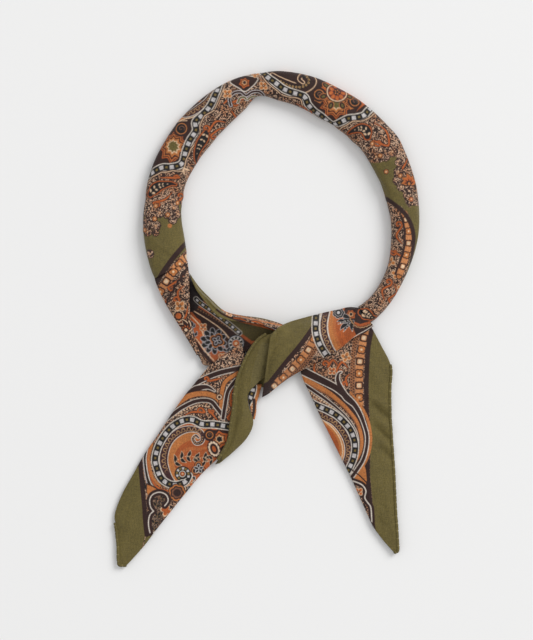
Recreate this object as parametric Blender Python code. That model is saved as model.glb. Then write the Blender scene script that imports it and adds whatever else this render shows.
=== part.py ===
"""A square silk neckerchief, folded on the bias into a band, laid in a loop and tied with one half knot.

It lies flat: +X is right, +Y is towards the top of the loop, +Z is up, and z = 0 is the surface it lies on.
Every size below is in millimetres, measured in plan from the middle of the tied neckerchief.
Layers of folded cloth that can't be seen share one rounded solid, and each visible stretch lies on them
as a wall of its own, so that the fold edges stay layered.
"""

import math
from collections import namedtuple

import bmesh
import bpy
import numpy as np
from mathutils import Vector
from mathutils.bvhtree import BVHTree

MM = 0.001

# Driving dimensions
LAYER = 1.2  # one visible stretch of folded silk, two or three thicknesses with the air between them
WRAP_LAYER = 1.8  # the front of the knot, where the whole band is pulled tight
SEAM = 0.3  # clear gap between pieces that lie against each other
LOOP_X, LOOP_Y = 9.8, 60.8  # the middle of the neck loop
HEM_RADIUS = 0.8  # the rolled hem
HEM_SPARE = 0.1  # room for the flat faces of the hem
CORNER_ROUNDING = 0.8  # how far into the corner of a tip its hem reaches
RIGHT_HEM_TOP, LEFT_HEM_TOP = -24.6, -114.0  # where each tail's hem comes out of its folds
SKY = 60.0  # higher than everything
LIFT_ROUNDS = 2  # times that a layer is raised, as raising it changes its slope
LIFT_SPARE = 0.12  # room for the flat faces between a layer's points
LEAST_LEVEL = 0.5  # a layer steeper than this counts as this steep
EDGE_DEPTH = 1.3  # at its edges a wall is at most this much deeper
LIFT_PLACES = [(0.0, 0.0)] + [
    (reach * math.cos(k * math.pi / 4), reach * math.sin(k * math.pi / 4))
    for reach in (0.8, 1.6)
    for k in range(8)
]  # where round a point a layer looks for what it lies on

# The middle of the whole outline, which becomes the origin
MIDDLE_X, MIDDLE_Y = 0.35, 0.65

OLIVE = (0.153, 0.124, 0.038)
PAISLEY = (0.212, 0.098, 0.047)
RUST = (0.356, 0.120, 0.038)
HEM_BROWN = (0.100, 0.075, 0.030)

# The roll round the neck: a row for each section, at an angle round the loop, from inner to outer radius.
# lip is how much of its width on the outside is a second layer.
Roll = namedtuple("Roll", "angle inner outer height lip")
ROLL_RIGHT = [
    Roll(101.9, 66.3, 79.2, 7.4, 0.0),
    Roll(92.0, 62.6, 79.1, 8.0, 0.0),
    Roll(80.0, 58.9, 77.7, 8.6, 0.0),
    Roll(65.0, 56.0, 76.2, 8.8, 0.0),
    Roll(48.0, 55.8, 75.8, 8.6, 0.0),
    Roll(30.0, 56.0, 76.5, 8.6, 0.0),
    Roll(16.0, 56.9, 76.0, 8.6, 0.0),
    Roll(8.0, 57.8, 76.1, 8.6, 0.0),
    Roll(5.5, 58.3, 76.2, 8.6, 0.9),
    Roll(-2.0, 59.8, 76.6, 8.7, 1.7),
    Roll(-10.0, 61.7, 77.1, 8.8, 2.4),
    Roll(-20.0, 64.1, 77.3, 9.0, 2.2),
    Roll(-29.0, 66.2, 77.5, 9.0, 1.6),
    Roll(-35.0, 67.3, 78.0, 8.9, 0.9),
    Roll(-37.0, 67.6, 78.2, 8.8, 0.0),
    Roll(-44.0, 68.2, 78.7, 8.6, 0.0),
    Roll(-51.5, 67.8, 79.2, 8.2, 0.0),
]
ROLL_LEFT = [
    Roll(102.2, 66.3, 79.2, 7.4, 0.0),
    Roll(110.0, 61.5, 79.4, 8.0, 0.0),
    Roll(120.0, 57.8, 78.5, 8.6, 0.0),
    Roll(135.0, 55.5, 77.8, 8.8, 0.0),
    Roll(150.0, 55.4, 77.2, 8.6, 0.0),
    Roll(165.0, 56.6, 77.9, 8.6, 0.0),
    Roll(180.0, 57.0, 78.2, 8.6, 0.0),
    Roll(192.0, 56.8, 79.3, 8.6, 0.0),
    Roll(202.0, 58.2, 80.3, 8.8, 0.0),
    Roll(207.4, 60.3, 81.2, 8.8, 0.0),
]

# The roll's section: across runs from -1 inside the loop to 1 outside it, up is a share of the height.
# It is flat where it rests, and a groove on each side shows where the layers part.
Ring = namedtuple("Ring", "across up")
ROLL_SECTION = [
    Ring(-0.66, 0.00),
    Ring(-0.90, 0.12),
    Ring(-0.98, 0.30),
    Ring(-0.90, 0.36),
    Ring(-1.00, 0.42),
    Ring(-0.96, 0.66),
    Ring(-0.82, 0.86),
    Ring(-0.52, 0.98),
    Ring(-0.10, 1.00),
    Ring(0.36, 0.97),
    Ring(0.74, 0.84),
    Ring(0.94, 0.66),
    Ring(1.00, 0.46),
    Ring(0.90, 0.40),
    Ring(0.98, 0.33),
    Ring(0.90, 0.12),
    Ring(0.66, 0.00),
]

# A stretch that lies between two edges: a row for each section, from edge a to edge b.
# za and zb are the heights of its upper face at the edges, and crest is how far its middle stands higher.
Row = namedtuple("Row", "ax ay bx by za zb crest")

# The open stretch left of the knot: a is its outer edge and b the inside of the loop
POCKET = [
    Row(-61.2, 22.2, -44.6, 30.4, 2.4, 3.8, 0.6),
    Row(-57.6, 14.6, -38.9, 17.4, 3.2, 6.2, -1.4),
    Row(-52.4, 6.2, -32.2, 10.6, 3.4, 8.4, -2.6),
    Row(-45.0, -6.2, -25.2, 3.8, 3.6, 9.0, -3.4),
    Row(-37.4, -20.0, -15.4, 0.8, 3.8, 9.2, -3.6),
    Row(-32.2, -25.2, -7.0, -0.8, 4.0, 9.4, -3.4),
    Row(-12.2, -18.2, 6.8, -5.6, 4.2, 8.4, -1.8),
]

# The front layer of that stretch: its free edge b is the fold that stands over the pocket
POCKET_FRONT = [
    Row(-62.1, 23.1, -43.6, 32.6, 4.4, 6.0, 3.0),
    Row(-61.0, 19.9, -42.8, 26.2, 4.4, 7.4, 2.4),
    Row(-58.2, 13.6, -42.6, 18.4, 4.4, 8.4, 1.8),
    Row(-54.5, 6.8, -42.4, 10.2, 4.6, 8.2, 1.2),
    Row(-50.4, 0.2, -42.0, 2.4, 4.8, 7.2, 0.8),
    Row(-46.3, -6.4, -40.8, -5.6, 5.0, 6.2, 0.4),
    Row(-42.2, -13.2, -38.4, -12.6, 5.2, 5.6, 0.2),
    Row(-38.9, -18.8, -36.8, -18.4, 5.2, 5.4, 0.0),
]

# The top fold of the same stretch, along the inside of the loop
COLLAR = [
    Row(-41.2, 22.4, -42.4, 26.4, 7.4, 4.0, 1.2),
    Row(-38.6, 16.6, -37.0, 18.8, 9.0, 3.6, 1.6),
    Row(-33.4, 9.6, -30.3, 11.9, 10.6, 3.0, 1.8),
    Row(-27.6, 3.0, -24.8, 6.7, 11.4, 2.6, 1.8),
    Row(-21.4, 0.2, -20.1, 4.3, 11.6, 2.6, 1.8),
    Row(-13.2, -1.0, -12.7, 2.8, 11.8, 2.8, 1.8),
    Row(-6.2, -1.8, -5.3, 1.9, 12.0, 3.2, 1.8),
    Row(-0.4, -3.0, 0.8, 0.7, 12.0, 3.6, 1.6),
    Row(5.6, -5.0, 7.6, -1.3, 11.0, 4.4, 1.0),
    Row(9.4, -6.0, 11.2, -3.0, 9.0, 4.6, 0.6),
]

# The tail that lies to the lower left: a is its left edge, b its right edge
LEFT_TAIL = [
    Row(-32.0, -25.8, -13.4, -13.2, 6.2, 7.6, 0.8),
    Row(-37.2, -32.2, -10.2, -27.0, 5.6, 7.4, 1.4),
    Row(-45.3, -42.0, -12.2, -42.0, 4.6, 6.0, 1.6),
    Row(-53.1, -53.0, -10.2, -54.0, 4.0, 4.6, 1.6),
    Row(-60.4, -64.1, -12.6, -64.0, 3.6, 3.6, 1.4),
    Row(-68.1, -75.3, -22.6, -73.6, 3.2, 3.2, 1.2),
    Row(-74.4, -86.5, -35.4, -85.6, 3.0, 3.0, 0.9),
    Row(-80.6, -97.7, -45.5, -97.7, 2.9, 2.9, 0.7),
    Row(-84.6, -108.9, -54.5, -108.9, 2.8, 2.8, 0.5),
    Row(-83.6, -116.6, -60.6, -116.6, 2.7, 2.7, 0.3),
    Row(-82.6, -126.0, -67.7, -126.0, 2.6, 2.6, 0.2),
    Row(-82.4, -133.6, -74.4, -133.6, 2.5, 2.5, 0.1),
    Row(-82.2, -136.6, -77.2, -136.6, 2.4, 2.4, 0.0),
]

# The tail that hangs to the right: a is its left, folded edge and b its right, hemmed edge
RIGHT_TAIL = [
    Row(19.2, -26.4, 58.6, -3.0, 4.6, 4.6, 0.8),
    Row(21.0, -33.0, 64.4, -13.9, 4.4, 3.8, 1.2),
    Row(25.2, -41.7, 69.8, -25.4, 4.0, 3.2, 1.4),
    Row(30.3, -52.9, 69.5, -38.0, 3.6, 2.8, 1.4),
    Row(35.9, -64.1, 69.7, -53.0, 3.3, 2.7, 1.2),
    Row(41.5, -75.3, 70.6, -68.0, 3.0, 2.6, 1.0),
    Row(47.1, -86.5, 71.6, -82.0, 2.9, 2.6, 0.8),
    Row(52.2, -97.7, 72.2, -95.0, 2.8, 2.6, 0.6),
    Row(57.2, -108.9, 72.8, -107.5, 2.7, 2.6, 0.4),
    Row(60.6, -116.0, 73.4, -115.6, 2.6, 2.5, 0.3),
    Row(66.2, -123.6, 73.8, -123.4, 2.5, 2.5, 0.1),
    Row(71.2, -129.2, 74.2, -129.2, 2.4, 2.4, 0.0),
]

# The hidden layers inside the knot: a is the lower side, b the side of the loop
KNOT_CORE = [
    Row(-5.0, -35.4, -0.8, -11.8, 2.6, 6.6, 1.6),
    Row(1.4, -37.6, 6.2, -9.0, 4.2, 8.0, 3.4),
    Row(10.4, -29.6, 14.2, -6.4, 7.6, 8.2, 4.4),
    Row(20.6, -23.2, 22.4, -3.4, 8.2, 7.8, 4.4),
    Row(30.6, -17.6, 31.0, -1.0, 7.2, 6.8, 3.4),
    Row(41.0, -11.2, 41.0, 2.0, 5.2, 5.0, 2.0),
    Row(49.4, -6.0, 47.4, 4.6, 4.2, 4.2, 2.0),
    Row(56.2, -2.4, 51.4, 5.8, 3.6, 3.6, 1.6),
]

# The front of the knot, which comes from the right and folds under at the crease on its left
KNOT_WRAP = [
    Row(60.0, -3.4, 52.0, 7.1, 5.6, 5.0, 2.6),
    Row(55.4, -6.9, 46.8, 7.5, 6.2, 4.6, 3.2),
    Row(48.6, -10.0, 41.0, 6.2, 7.2, 4.2, 4.4),
    Row(41.0, -16.2, 34.4, 4.8, 7.6, 4.2, 6.4),
    Row(33.0, -20.6, 27.6, 3.2, 7.8, 4.4, 8.2),
    Row(23.4, -26.2, 21.0, 1.4, 7.8, 4.8, 9.2),
    Row(14.3, -31.4, 14.0, -0.6, 7.0, 6.2, 9.6),
    Row(7.6, -36.2, 8.6, -3.0, 6.6, 8.6, 9.0),
    Row(2.0, -40.8, 5.2, -5.6, 5.6, 10.6, 7.4),
    Row(-1.4, -42.8, 3.0, -8.2, 4.6, 10.8, 5.6),
]

# The olive end of the cloth that falls from the knot over the left tail: a is its hemmed left edge
FALL = [
    Row(0.6, -8.2, 5.4, -7.4, 12.2, 12.8, 0.6),
    Row(-4.4, -11.4, 4.6, -12.0, 11.2, 12.0, 1.2),
    Row(-9.2, -18.2, 3.6, -20.4, 10.6, 10.8, 1.8),
    Row(-12.9, -26.0, 2.2, -28.6, 9.8, 9.6, 1.8),
    Row(-15.7, -33.4, -4.0, -34.6, 9.0, 8.8, 1.6),
    Row(-17.1, -41.2, -9.6, -41.0, 8.0, 8.2, 1.2),
    Row(-17.7, -49.0, -9.2, -48.4, 7.2, 7.2, 1.2),
    Row(-19.2, -58.4, -6.8, -57.2, 6.2, 6.2, 1.4),
    Row(-20.3, -66.6, -10.4, -65.8, 5.4, 5.4, 1.2),
    Row(-23.8, -74.0, -18.0, -73.6, 4.8, 4.8, 0.8),
    Row(-27.6, -80.2, -25.4, -79.8, 4.4, 4.4, 0.2),
]

# The printed turn of the same end, which shows between it and the crease
CURL = [
    Row(-8.4, -36.6, -2.0, -36.2, 6.4, 4.6, 0.2),
    Row(-9.6, -41.4, -3.4, -42.0, 6.2, 3.4, 0.2),
    Row(-9.4, -46.0, -4.8, -46.4, 5.6, 3.0, 0.2),
    Row(-8.4, -50.6, -5.0, -51.0, 5.0, 2.8, 0.2),
    Row(-8.2, -54.8, -5.8, -55.2, 4.4, 2.8, 0.1),
]


def flow(rows, count):
    """The rows at count even steps along a smooth curve through them, as an array of their columns."""
    table = np.array(rows, float)
    last = len(table) - 1
    steps = np.linspace(0.0, last, count)
    first = np.minimum(steps.astype(int), last - 1)
    t = (steps - first)[:, None]
    before = table[np.maximum(first - 1, 0)]
    start, end = table[first], table[first + 1]
    after = table[np.minimum(first + 2, last)]
    leaving, arriving = (end - before) / 2, (after - start) / 2
    return (
        start * (2 * t**3 - 3 * t**2 + 1)
        + leaving * (t**3 - 2 * t**2 + t)
        + end * (3 * t**2 - 2 * t**3)
        + arriving * (t**3 - t**2)
    )


def sheet(rows, along, across, droop=0.6, trim=0.0):
    """The upper face of a stretch, as an along x across grid of points.

    Its edges droop, and trim draws them in.
    """
    smooth = flow(rows, along)
    a, b = smooth[:, 0:2], smooth[:, 2:4]
    ends = np.linalg.norm(b - a, axis=1)[:, None]
    inward = (b - a) / ends * np.minimum(trim, ends * 0.3)
    a, b = a + inward, b - inward
    u = (1 - np.cos(np.linspace(0.0, math.pi, across))) / 2
    plan = a[:, None] * (1 - u)[None, :, None] + b[:, None] * u[None, :, None]
    edge_height = smooth[:, 4:5] * (1 - u) + smooth[:, 5:6] * u
    arch = smooth[:, 6:7] * 4 * u * (1 - u)
    height = edge_height + arch - droop * np.abs(2 * u - 1) ** 8
    return np.concatenate([plan, height[..., None]], axis=2)


def tree_of(objects):
    """One search tree over the finished meshes of these objects, in millimetres."""
    graph = bpy.context.evaluated_depsgraph_get()
    points, faces = [], []
    for item in objects:
        solid = item.evaluated_get(graph)
        mesh = solid.to_mesh()
        shift = len(points)
        points += [vertex.co / MM for vertex in mesh.vertices]
        faces += [[index + shift for index in face.vertices] for face in mesh.polygons]
        solid.to_mesh_clear()
    return BVHTree.FromPolygons(points, faces)


def steepness(grid):
    """How much deeper a wall is measured straight down than across it, at each point of a grid."""
    run_along = np.gradient(grid, axis=0)
    run_across = np.gradient(grid, axis=1)
    normal = np.cross(run_along, run_across)
    level = np.abs(normal[..., 2]) / np.maximum(np.linalg.norm(normal, axis=2), 1e-9)
    deeper = 1 / np.maximum(level, LEAST_LEVEL)
    deeper[:, 0] = np.minimum(deeper[:, 0], EDGE_DEPTH)
    deeper[:, -1] = np.minimum(deeper[:, -1], EDGE_DEPTH)
    return deeper


def laid_on(grid, objects, thickness):
    """The grid, raised where it must be so that a wall of this thickness below it clears the objects."""
    tree = tree_of(objects)
    raised = grid.copy()
    for _ in range(LIFT_ROUNDS):
        depth = thickness * steepness(raised) + SEAM + LIFT_SPARE
        for index in np.ndindex(grid.shape[:2]):
            x, y, height = raised[index]
            for dx, dy in LIFT_PLACES:
                hit = tree.ray_cast(Vector((x + dx, y + dy, SKY)), Vector((0, 0, -1)))[0]
                if hit is not None:
                    height = max(height, hit.z + depth[index])
            raised[index][2] = height
    return raised


def material(name, colour, roughness=0.62):
    made = bpy.data.materials.new(name)
    made.use_nodes = True
    shader = made.node_tree.nodes["Principled BSDF"]
    shader.inputs["Base Color"].default_value = (*colour, 1.0)
    shader.inputs["Roughness"].default_value = roughness
    shader.inputs["Metallic"].default_value = 0.0
    return made


def place(name, mesh_or_curve, finish):
    item = bpy.data.objects.new(name, mesh_or_curve)
    mesh_or_curve.materials.append(finish)
    collection.objects.link(item)
    return item


def finished(name, shape, finish):
    """The closed shape as an object with its faces outward."""
    bmesh.ops.recalc_face_normals(shape, faces=shape.faces)
    mesh = bpy.data.meshes.new(name)
    shape.to_mesh(mesh)
    shape.free()
    mesh.shade_smooth()
    return place(name, mesh, finish)


def wall(name, grid, thickness, finish):
    """A stretch of cloth as a closed wall straight below the grid, which is its upper face."""
    below = grid.copy()
    below[..., 2] -= thickness * steepness(grid)
    along, across = grid.shape[:2]
    shape = bmesh.new()
    top = [[shape.verts.new(Vector(point) * MM) for point in line] for line in grid]
    under = [[shape.verts.new(Vector(point) * MM) for point in line] for line in below]
    for i in range(along - 1):
        for j in range(across - 1):
            shape.faces.new((top[i][j], top[i + 1][j], top[i + 1][j + 1], top[i][j + 1]))
            shape.faces.new((under[i][j], under[i][j + 1], under[i + 1][j + 1], under[i + 1][j]))
        for j in (0, -1):
            shape.faces.new((top[i][j], under[i][j], under[i + 1][j], top[i + 1][j]))
    for i in (0, -1):
        for j in range(across - 1):
            shape.faces.new((top[i][j], top[i][j + 1], under[i][j + 1], under[i][j]))
    return finished(name, shape, finish)


def loft(name, loops, finish):
    """A closed solid through loops of points, with flat ends."""
    shape = bmesh.new()
    rings = [[shape.verts.new(Vector(point) * MM) for point in loop] for loop in loops]
    count = len(loops[0])
    for ring, following in zip(rings, rings[1:]):
        for k in range(count):
            after = (k + 1) % count
            shape.faces.new((ring[k], ring[after], following[after], following[k]))
    shape.faces.new(rings[0][::-1])
    shape.faces.new(rings[-1])
    return finished(name, shape, finish)


def mound(name, grid, finish, floor=0.0):
    """The hidden layers below a grid, down to a flat underside."""
    loops = []
    for line in grid:
        below = [(line[-1][0], line[-1][1], floor), (line[0][0], line[0][1], floor)]
        loops.append([tuple(point) for point in line] + below)
    return loft(name, loops, finish)


def roll(name, rows, along, finish):
    """The rolled band round the neck."""
    loops = []
    for angle, inner, outer, height, lip in flow(rows, along):
        turn = math.radians(angle)
        edge = outer - max(lip, 0.0)
        middle, half = (inner + edge) / 2, (edge - inner) / 2
        loop = []
        for across, up in ROLL_SECTION:
            radius = middle + half * across
            x = LOOP_X + radius * math.cos(turn)
            y = LOOP_Y + radius * math.sin(turn)
            loop.append((x, y, height * up))
        loops.append(loop)
    return loft(name, loops, finish)


def roll_lip(name, rows, along, finish):
    """The second layer of the roll, which shows outside it on the right."""
    showing = [row for row in rows if row.lip > 0]
    loops = []
    for angle, _, outer, height, lip in flow(showing, along):
        turn = math.radians(angle)
        inside, outside = outer - lip + SEAM + 0.1, outer
        loop = []
        for radius, up in (
            (inside, 0.0),
            (inside, 0.56),
            (outside - 0.3, 0.50),
            (outside, 0.36),
            (outside, 0.14),
            (outside - 0.3, 0.0),
        ):
            x = LOOP_X + radius * math.cos(turn)
            y = LOOP_Y + radius * math.sin(turn)
            loop.append((x, y, height * up))
        loops.append(loop)
    return loft(name, loops, finish)


def beside(edge, inside):
    """The points of an edge, moved out in plan to where a hem beside it has its middle."""
    run = np.gradient(edge[:, :2], axis=0)
    away = np.stack([run[:, 1], -run[:, 0]], axis=1)
    away *= np.sign(((edge - inside)[:, :2] * away).sum(axis=1))[:, None]
    away /= np.linalg.norm(away, axis=1)[:, None]
    moved = edge.copy()
    moved[:, :2] += away * (HEM_RADIUS + SEAM + HEM_SPARE)
    moved[:, 2] -= LAYER / 2
    return moved


def hem_path(grid, side, start_y, round_tip):
    """Where the hem runs beside edge a (side 0) or b (side -1), below start_y and round the tip."""
    path = beside(grid[:, side], grid[:, 1 if side == 0 else -2])
    path = path[grid[:, side, 1] < start_y]
    if not round_tip:
        return path
    tip = beside(grid[-1], grid[-2])
    tip = tip if side == 0 else tip[::-1]
    corner = grid[-1, side] - (0.0, 0.0, LAYER / 2)
    turn = corner + CORNER_ROUNDING * (path[-1] + tip[0] - 2 * corner)
    return np.concatenate([path, turn[None], tip])


def hem(name, points, finish):
    """A rolled hem as a round cord of cloth along these points."""
    curve = bpy.data.curves.new(name, "CURVE")
    curve.dimensions = "3D"
    curve.bevel_depth = HEM_RADIUS * MM
    curve.bevel_resolution = 1
    curve.use_fill_caps = True
    spline = curve.splines.new("POLY")
    spline.points.add(len(points) - 1)
    for point, place_at in zip(spline.points, points):
        point.co = (*(Vector(place_at) * MM), 1.0)
    return place(name, curve, finish)


for item in list(bpy.data.objects):
    bpy.data.objects.remove(item)
collection = bpy.data.collections.new("neckerchief")
bpy.context.scene.collection.children.link(collection)

paisley = material("paisley_silk", PAISLEY)
olive = material("olive_silk", OLIVE)
rust = material("rust_silk", RUST)
hem_cloth = material("rolled_hem", HEM_BROWN, 0.7)

# What rests on the surface
pocket = mound("pocket_floor", sheet(POCKET, 26, 13, 1.2), rust)
left_face_grid = sheet(LEFT_TAIL, 28, 9, 0.3)
left_under_grid = sheet(LEFT_TAIL, 26, 7, 0.6, trim=0.9)[1:]
left_under_grid[..., 2] -= LAYER + SEAM + 0.15
left_under = mound("left_tail_under", left_under_grid, paisley)
right_face_grid = sheet(RIGHT_TAIL, 28, 9, 0.3)
right_under_grid = sheet(RIGHT_TAIL, 26, 7, 0.6, trim=0.9)
right_under_grid[..., 2] -= LAYER + SEAM + 0.15
right_under = mound("right_tail_under", right_under_grid, paisley)
core = mound("knot_core", sheet(KNOT_CORE, 20, 9, 1.2), olive)

# What lies on it
left_face_grid = laid_on(left_face_grid, [left_under, pocket], LAYER)
left_face = wall("left_tail", left_face_grid, LAYER, paisley)
right_face_grid = laid_on(right_face_grid, [right_under], LAYER)
right_face = wall("right_tail", right_face_grid, LAYER, paisley)
curl_grid = laid_on(sheet(CURL, 9, 5, 0.2), [left_under, core], LAYER)
curl = wall("fall_turn", curl_grid, LAYER, paisley)
fall_grid = laid_on(sheet(FALL, 30, 9, 0.3), [left_face, pocket, core, curl], LAYER)
fall = wall("olive_fall", fall_grid, LAYER, olive)
front_grid = laid_on(sheet(POCKET_FRONT, 18, 9, 0.4), [pocket, left_face], LAYER)
front = wall("pocket_front", front_grid, LAYER, paisley)
collar_grid = laid_on(sheet(COLLAR, 26, 7, 0.2), [pocket, fall], LAYER)
collar = wall("collar_fold", collar_grid, LAYER, olive)
wrap_grid = laid_on(sheet(KNOT_WRAP, 28, 13, 0.6), [core, right_face, fall, collar], WRAP_LAYER)
wrap = wall("knot_wrap", wrap_grid, WRAP_LAYER, olive)

# The loop itself
roll("neck_roll_right", ROLL_RIGHT, 60, paisley)
roll("neck_roll_left", ROLL_LEFT, 36, paisley)
roll_lip("neck_roll_lip", ROLL_RIGHT, 14, olive)

# The rolled hems
hem("right_tail_hem", hem_path(right_face_grid, -1, RIGHT_HEM_TOP, True), hem_cloth)
hem("left_tail_hem", hem_path(left_face_grid, 0, LEFT_HEM_TOP, True), hem_cloth)
hem("fall_hem", hem_path(fall_grid, 0, 0.0, False), hem_cloth)

for item in collection.objects:
    item.location = (-MIDDLE_X * MM, -MIDDLE_Y * MM, 0.0)
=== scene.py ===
"""The looks of the silk neckerchief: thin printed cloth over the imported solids, its floor, light and camera.

Plan positions are in millimetres before the part's shift to its origin. The print is painted in code, point
by point, on frame units of 0.56 mm: x to the right and y downwards, as the camera sees the neckerchief from
above. Where a painting call takes a list of points, it draws a smooth line through them.
"""

import math

import bpy
import numpy as np
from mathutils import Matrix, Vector
from mathutils.bvhtree import BVHTree


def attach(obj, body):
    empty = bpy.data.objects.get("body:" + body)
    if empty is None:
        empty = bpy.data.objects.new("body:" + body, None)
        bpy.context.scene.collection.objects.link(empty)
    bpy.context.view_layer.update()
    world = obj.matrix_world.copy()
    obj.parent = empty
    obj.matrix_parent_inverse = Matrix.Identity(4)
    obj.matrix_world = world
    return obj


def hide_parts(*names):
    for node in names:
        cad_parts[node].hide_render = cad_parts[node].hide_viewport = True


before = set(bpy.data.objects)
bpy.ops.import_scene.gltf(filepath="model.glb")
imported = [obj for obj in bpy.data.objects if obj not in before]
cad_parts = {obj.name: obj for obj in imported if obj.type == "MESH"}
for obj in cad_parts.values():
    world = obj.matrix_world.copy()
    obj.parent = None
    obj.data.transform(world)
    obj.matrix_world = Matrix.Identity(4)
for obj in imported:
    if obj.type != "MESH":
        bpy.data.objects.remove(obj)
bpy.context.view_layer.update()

MM = 0.001
UNIT = 0.56  # millimetres to a frame unit
FRAME_X, FRAME_Y = 265.5, 320.5  # the frame units of the plan's zero point
FRAME_H = 640  # the height of the picture in frame units
MIDDLE_X, MIDDLE_Y = 0.35, 0.65  # the part's shift in plan
GAP = 0.31  # between the points of a cloth
LOOP_X, LOOP_Y = 9.8, 60.8
FOLD = 0.55  # radius of a folded edge
MEAN_RADIUS = 67.0  # of the loop, for lengths along it
SEAM = -80.0  # degrees: the angles round the loop start after it
TOP_FACE = (0.26, 0.75)  # the share of the section that the camera sees, from its outer to its inner side
PAST_EDGE = 1.6  # how fast the print goes on past that
THREAD_PITCH = 0.32
STITCH_PITCH = 4.0  # along a rolled hem
HEM_RADIUS = 0.82
HEM_OUT, HEM_DOWN = 0.85, 0.36  # from a face's edge to the middle of its hem
TAU = 2 * math.pi

# ---------------------------------------------------------------- the shapes, as in the part

# angle, inner radius, outer radius, height, second layer's width
ROLL = [
    (-51.5, 67.8, 79.2, 8.2, 0.0),
    (-44.0, 68.2, 78.7, 8.6, 0.0),
    (-37.0, 67.6, 78.2, 8.8, 0.0),
    (-35.0, 67.3, 78.0, 8.9, 0.9),
    (-29.0, 66.2, 77.5, 9.0, 1.6),
    (-20.0, 64.1, 77.3, 9.0, 2.2),
    (-10.0, 61.7, 77.1, 8.8, 2.4),
    (-2.0, 59.8, 76.6, 8.7, 1.7),
    (5.5, 58.3, 76.2, 8.6, 0.9),
    (8.0, 57.8, 76.1, 8.6, 0.0),
    (16.0, 56.9, 76.0, 8.6, 0.0),
    (30.0, 56.0, 76.5, 8.6, 0.0),
    (48.0, 55.8, 75.8, 8.6, 0.0),
    (65.0, 56.0, 76.2, 8.8, 0.0),
    (80.0, 58.9, 77.7, 8.6, 0.0),
    (92.0, 62.6, 79.1, 8.0, 0.0),
    (102.0, 66.3, 79.2, 7.4, 0.0),
    (110.0, 61.5, 79.4, 8.0, 0.0),
    (120.0, 57.8, 78.5, 8.6, 0.0),
    (135.0, 55.5, 77.8, 8.8, 0.0),
    (150.0, 55.4, 77.2, 8.6, 0.0),
    (165.0, 56.6, 77.9, 8.6, 0.0),
    (180.0, 57.0, 78.2, 8.6, 0.0),
    (192.0, 56.8, 79.3, 8.6, 0.0),
    (202.0, 58.2, 80.3, 8.8, 0.0),
    (207.8, 60.5, 81.3, 8.8, 0.0),
]
# The rolled band's section: from its free edge underneath, out and over the top to the inside and under
SECTION = [
    (-0.30, 0.07),
    (0.20, 0.05),
    (0.66, 0.03),
    (0.90, 0.13),
    (0.99, 0.32),
    (1.00, 0.50),
    (0.94, 0.68),
    (0.76, 0.85),
    (0.40, 0.96),
    (-0.08, 1.00),
    (-0.50, 0.97),
    (-0.80, 0.86),
    (-0.95, 0.67),
    (-1.00, 0.46),
    (-0.97, 0.28),
    (-0.88, 0.11),
    (-0.62, 0.01),
    (-0.20, 0.00),
    (0.30, 0.00),
]

# The stretches below: the places of both edges (ax, ay, bx, by), their heights, and the crest between them
POCKET = [
    (-61.2, 22.2, -44.6, 30.4, 2.4, 3.8, 0.6),
    (-57.6, 14.6, -38.9, 17.4, 3.2, 6.2, -1.4),
    (-52.4, 6.2, -32.2, 10.6, 3.4, 8.4, -2.6),
    (-45.0, -6.2, -25.2, 3.8, 3.6, 9.0, -3.4),
    (-37.4, -20.0, -15.4, 0.8, 3.8, 9.2, -3.6),
    (-32.2, -25.2, -7.0, -0.8, 4.0, 9.4, -3.4),
    (-12.2, -18.2, 6.8, -5.6, 4.2, 8.4, -1.8),
]
POCKET_FRONT = [
    (-62.1, 23.1, -43.6, 32.6, 4.4, 6.0, 3.0),
    (-61.0, 19.9, -42.8, 26.2, 4.4, 7.4, 2.4),
    (-58.2, 13.6, -42.6, 18.4, 4.4, 8.4, 1.8),
    (-54.5, 6.8, -42.4, 10.2, 4.6, 8.2, 1.2),
    (-50.4, 0.2, -42.0, 2.4, 4.8, 7.2, 0.8),
    (-46.3, -6.4, -40.8, -5.6, 5.0, 6.2, 0.4),
    (-42.2, -13.2, -38.4, -12.6, 5.2, 5.6, 0.2),
    (-38.9, -18.8, -36.8, -18.4, 5.2, 5.4, 0.0),
]
COLLAR = [
    (-41.2, 22.4, -42.4, 26.4, 7.4, 4.0, 1.2),
    (-38.6, 16.6, -37.0, 18.8, 9.0, 3.6, 1.6),
    (-33.4, 9.6, -30.3, 11.9, 10.6, 3.0, 1.8),
    (-27.6, 3.0, -24.8, 6.7, 11.4, 2.6, 1.8),
    (-21.4, 0.2, -20.1, 4.3, 11.6, 2.6, 1.8),
    (-13.2, -1.0, -12.7, 2.8, 11.8, 2.8, 1.8),
    (-6.2, -1.8, -5.3, 1.9, 12.0, 3.2, 1.8),
    (-0.4, -3.0, 0.8, 0.7, 12.0, 3.6, 1.6),
    (5.6, -5.0, 7.6, -1.3, 11.0, 4.4, 1.0),
    (9.4, -6.0, 11.2, -3.0, 9.0, 4.6, 0.6),
]
LEFT_TAIL = [
    (-32.0, -25.8, -13.4, -13.2, 6.2, 7.6, 0.8),
    (-37.2, -32.2, -10.2, -27.0, 5.6, 7.4, 1.4),
    (-45.3, -42.0, -12.2, -42.0, 4.6, 6.0, 1.6),
    (-53.1, -53.0, -10.2, -54.0, 4.0, 4.6, 1.6),
    (-60.4, -64.1, -12.6, -64.0, 3.6, 3.6, 1.4),
    (-68.1, -75.3, -22.6, -73.6, 3.2, 3.2, 1.2),
    (-74.4, -86.5, -35.4, -85.6, 3.0, 3.0, 0.9),
    (-80.6, -97.7, -45.5, -97.7, 2.9, 2.9, 0.7),
    (-84.6, -108.9, -54.5, -108.9, 2.8, 2.8, 0.5),
    (-83.6, -116.6, -60.6, -116.6, 2.7, 2.7, 0.3),
    (-82.6, -126.0, -67.7, -126.0, 2.6, 2.6, 0.2),
    (-82.4, -133.6, -74.4, -133.6, 2.5, 2.5, 0.1),
    (-82.2, -136.6, -77.2, -136.6, 2.4, 2.4, 0.0),
]
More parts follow.
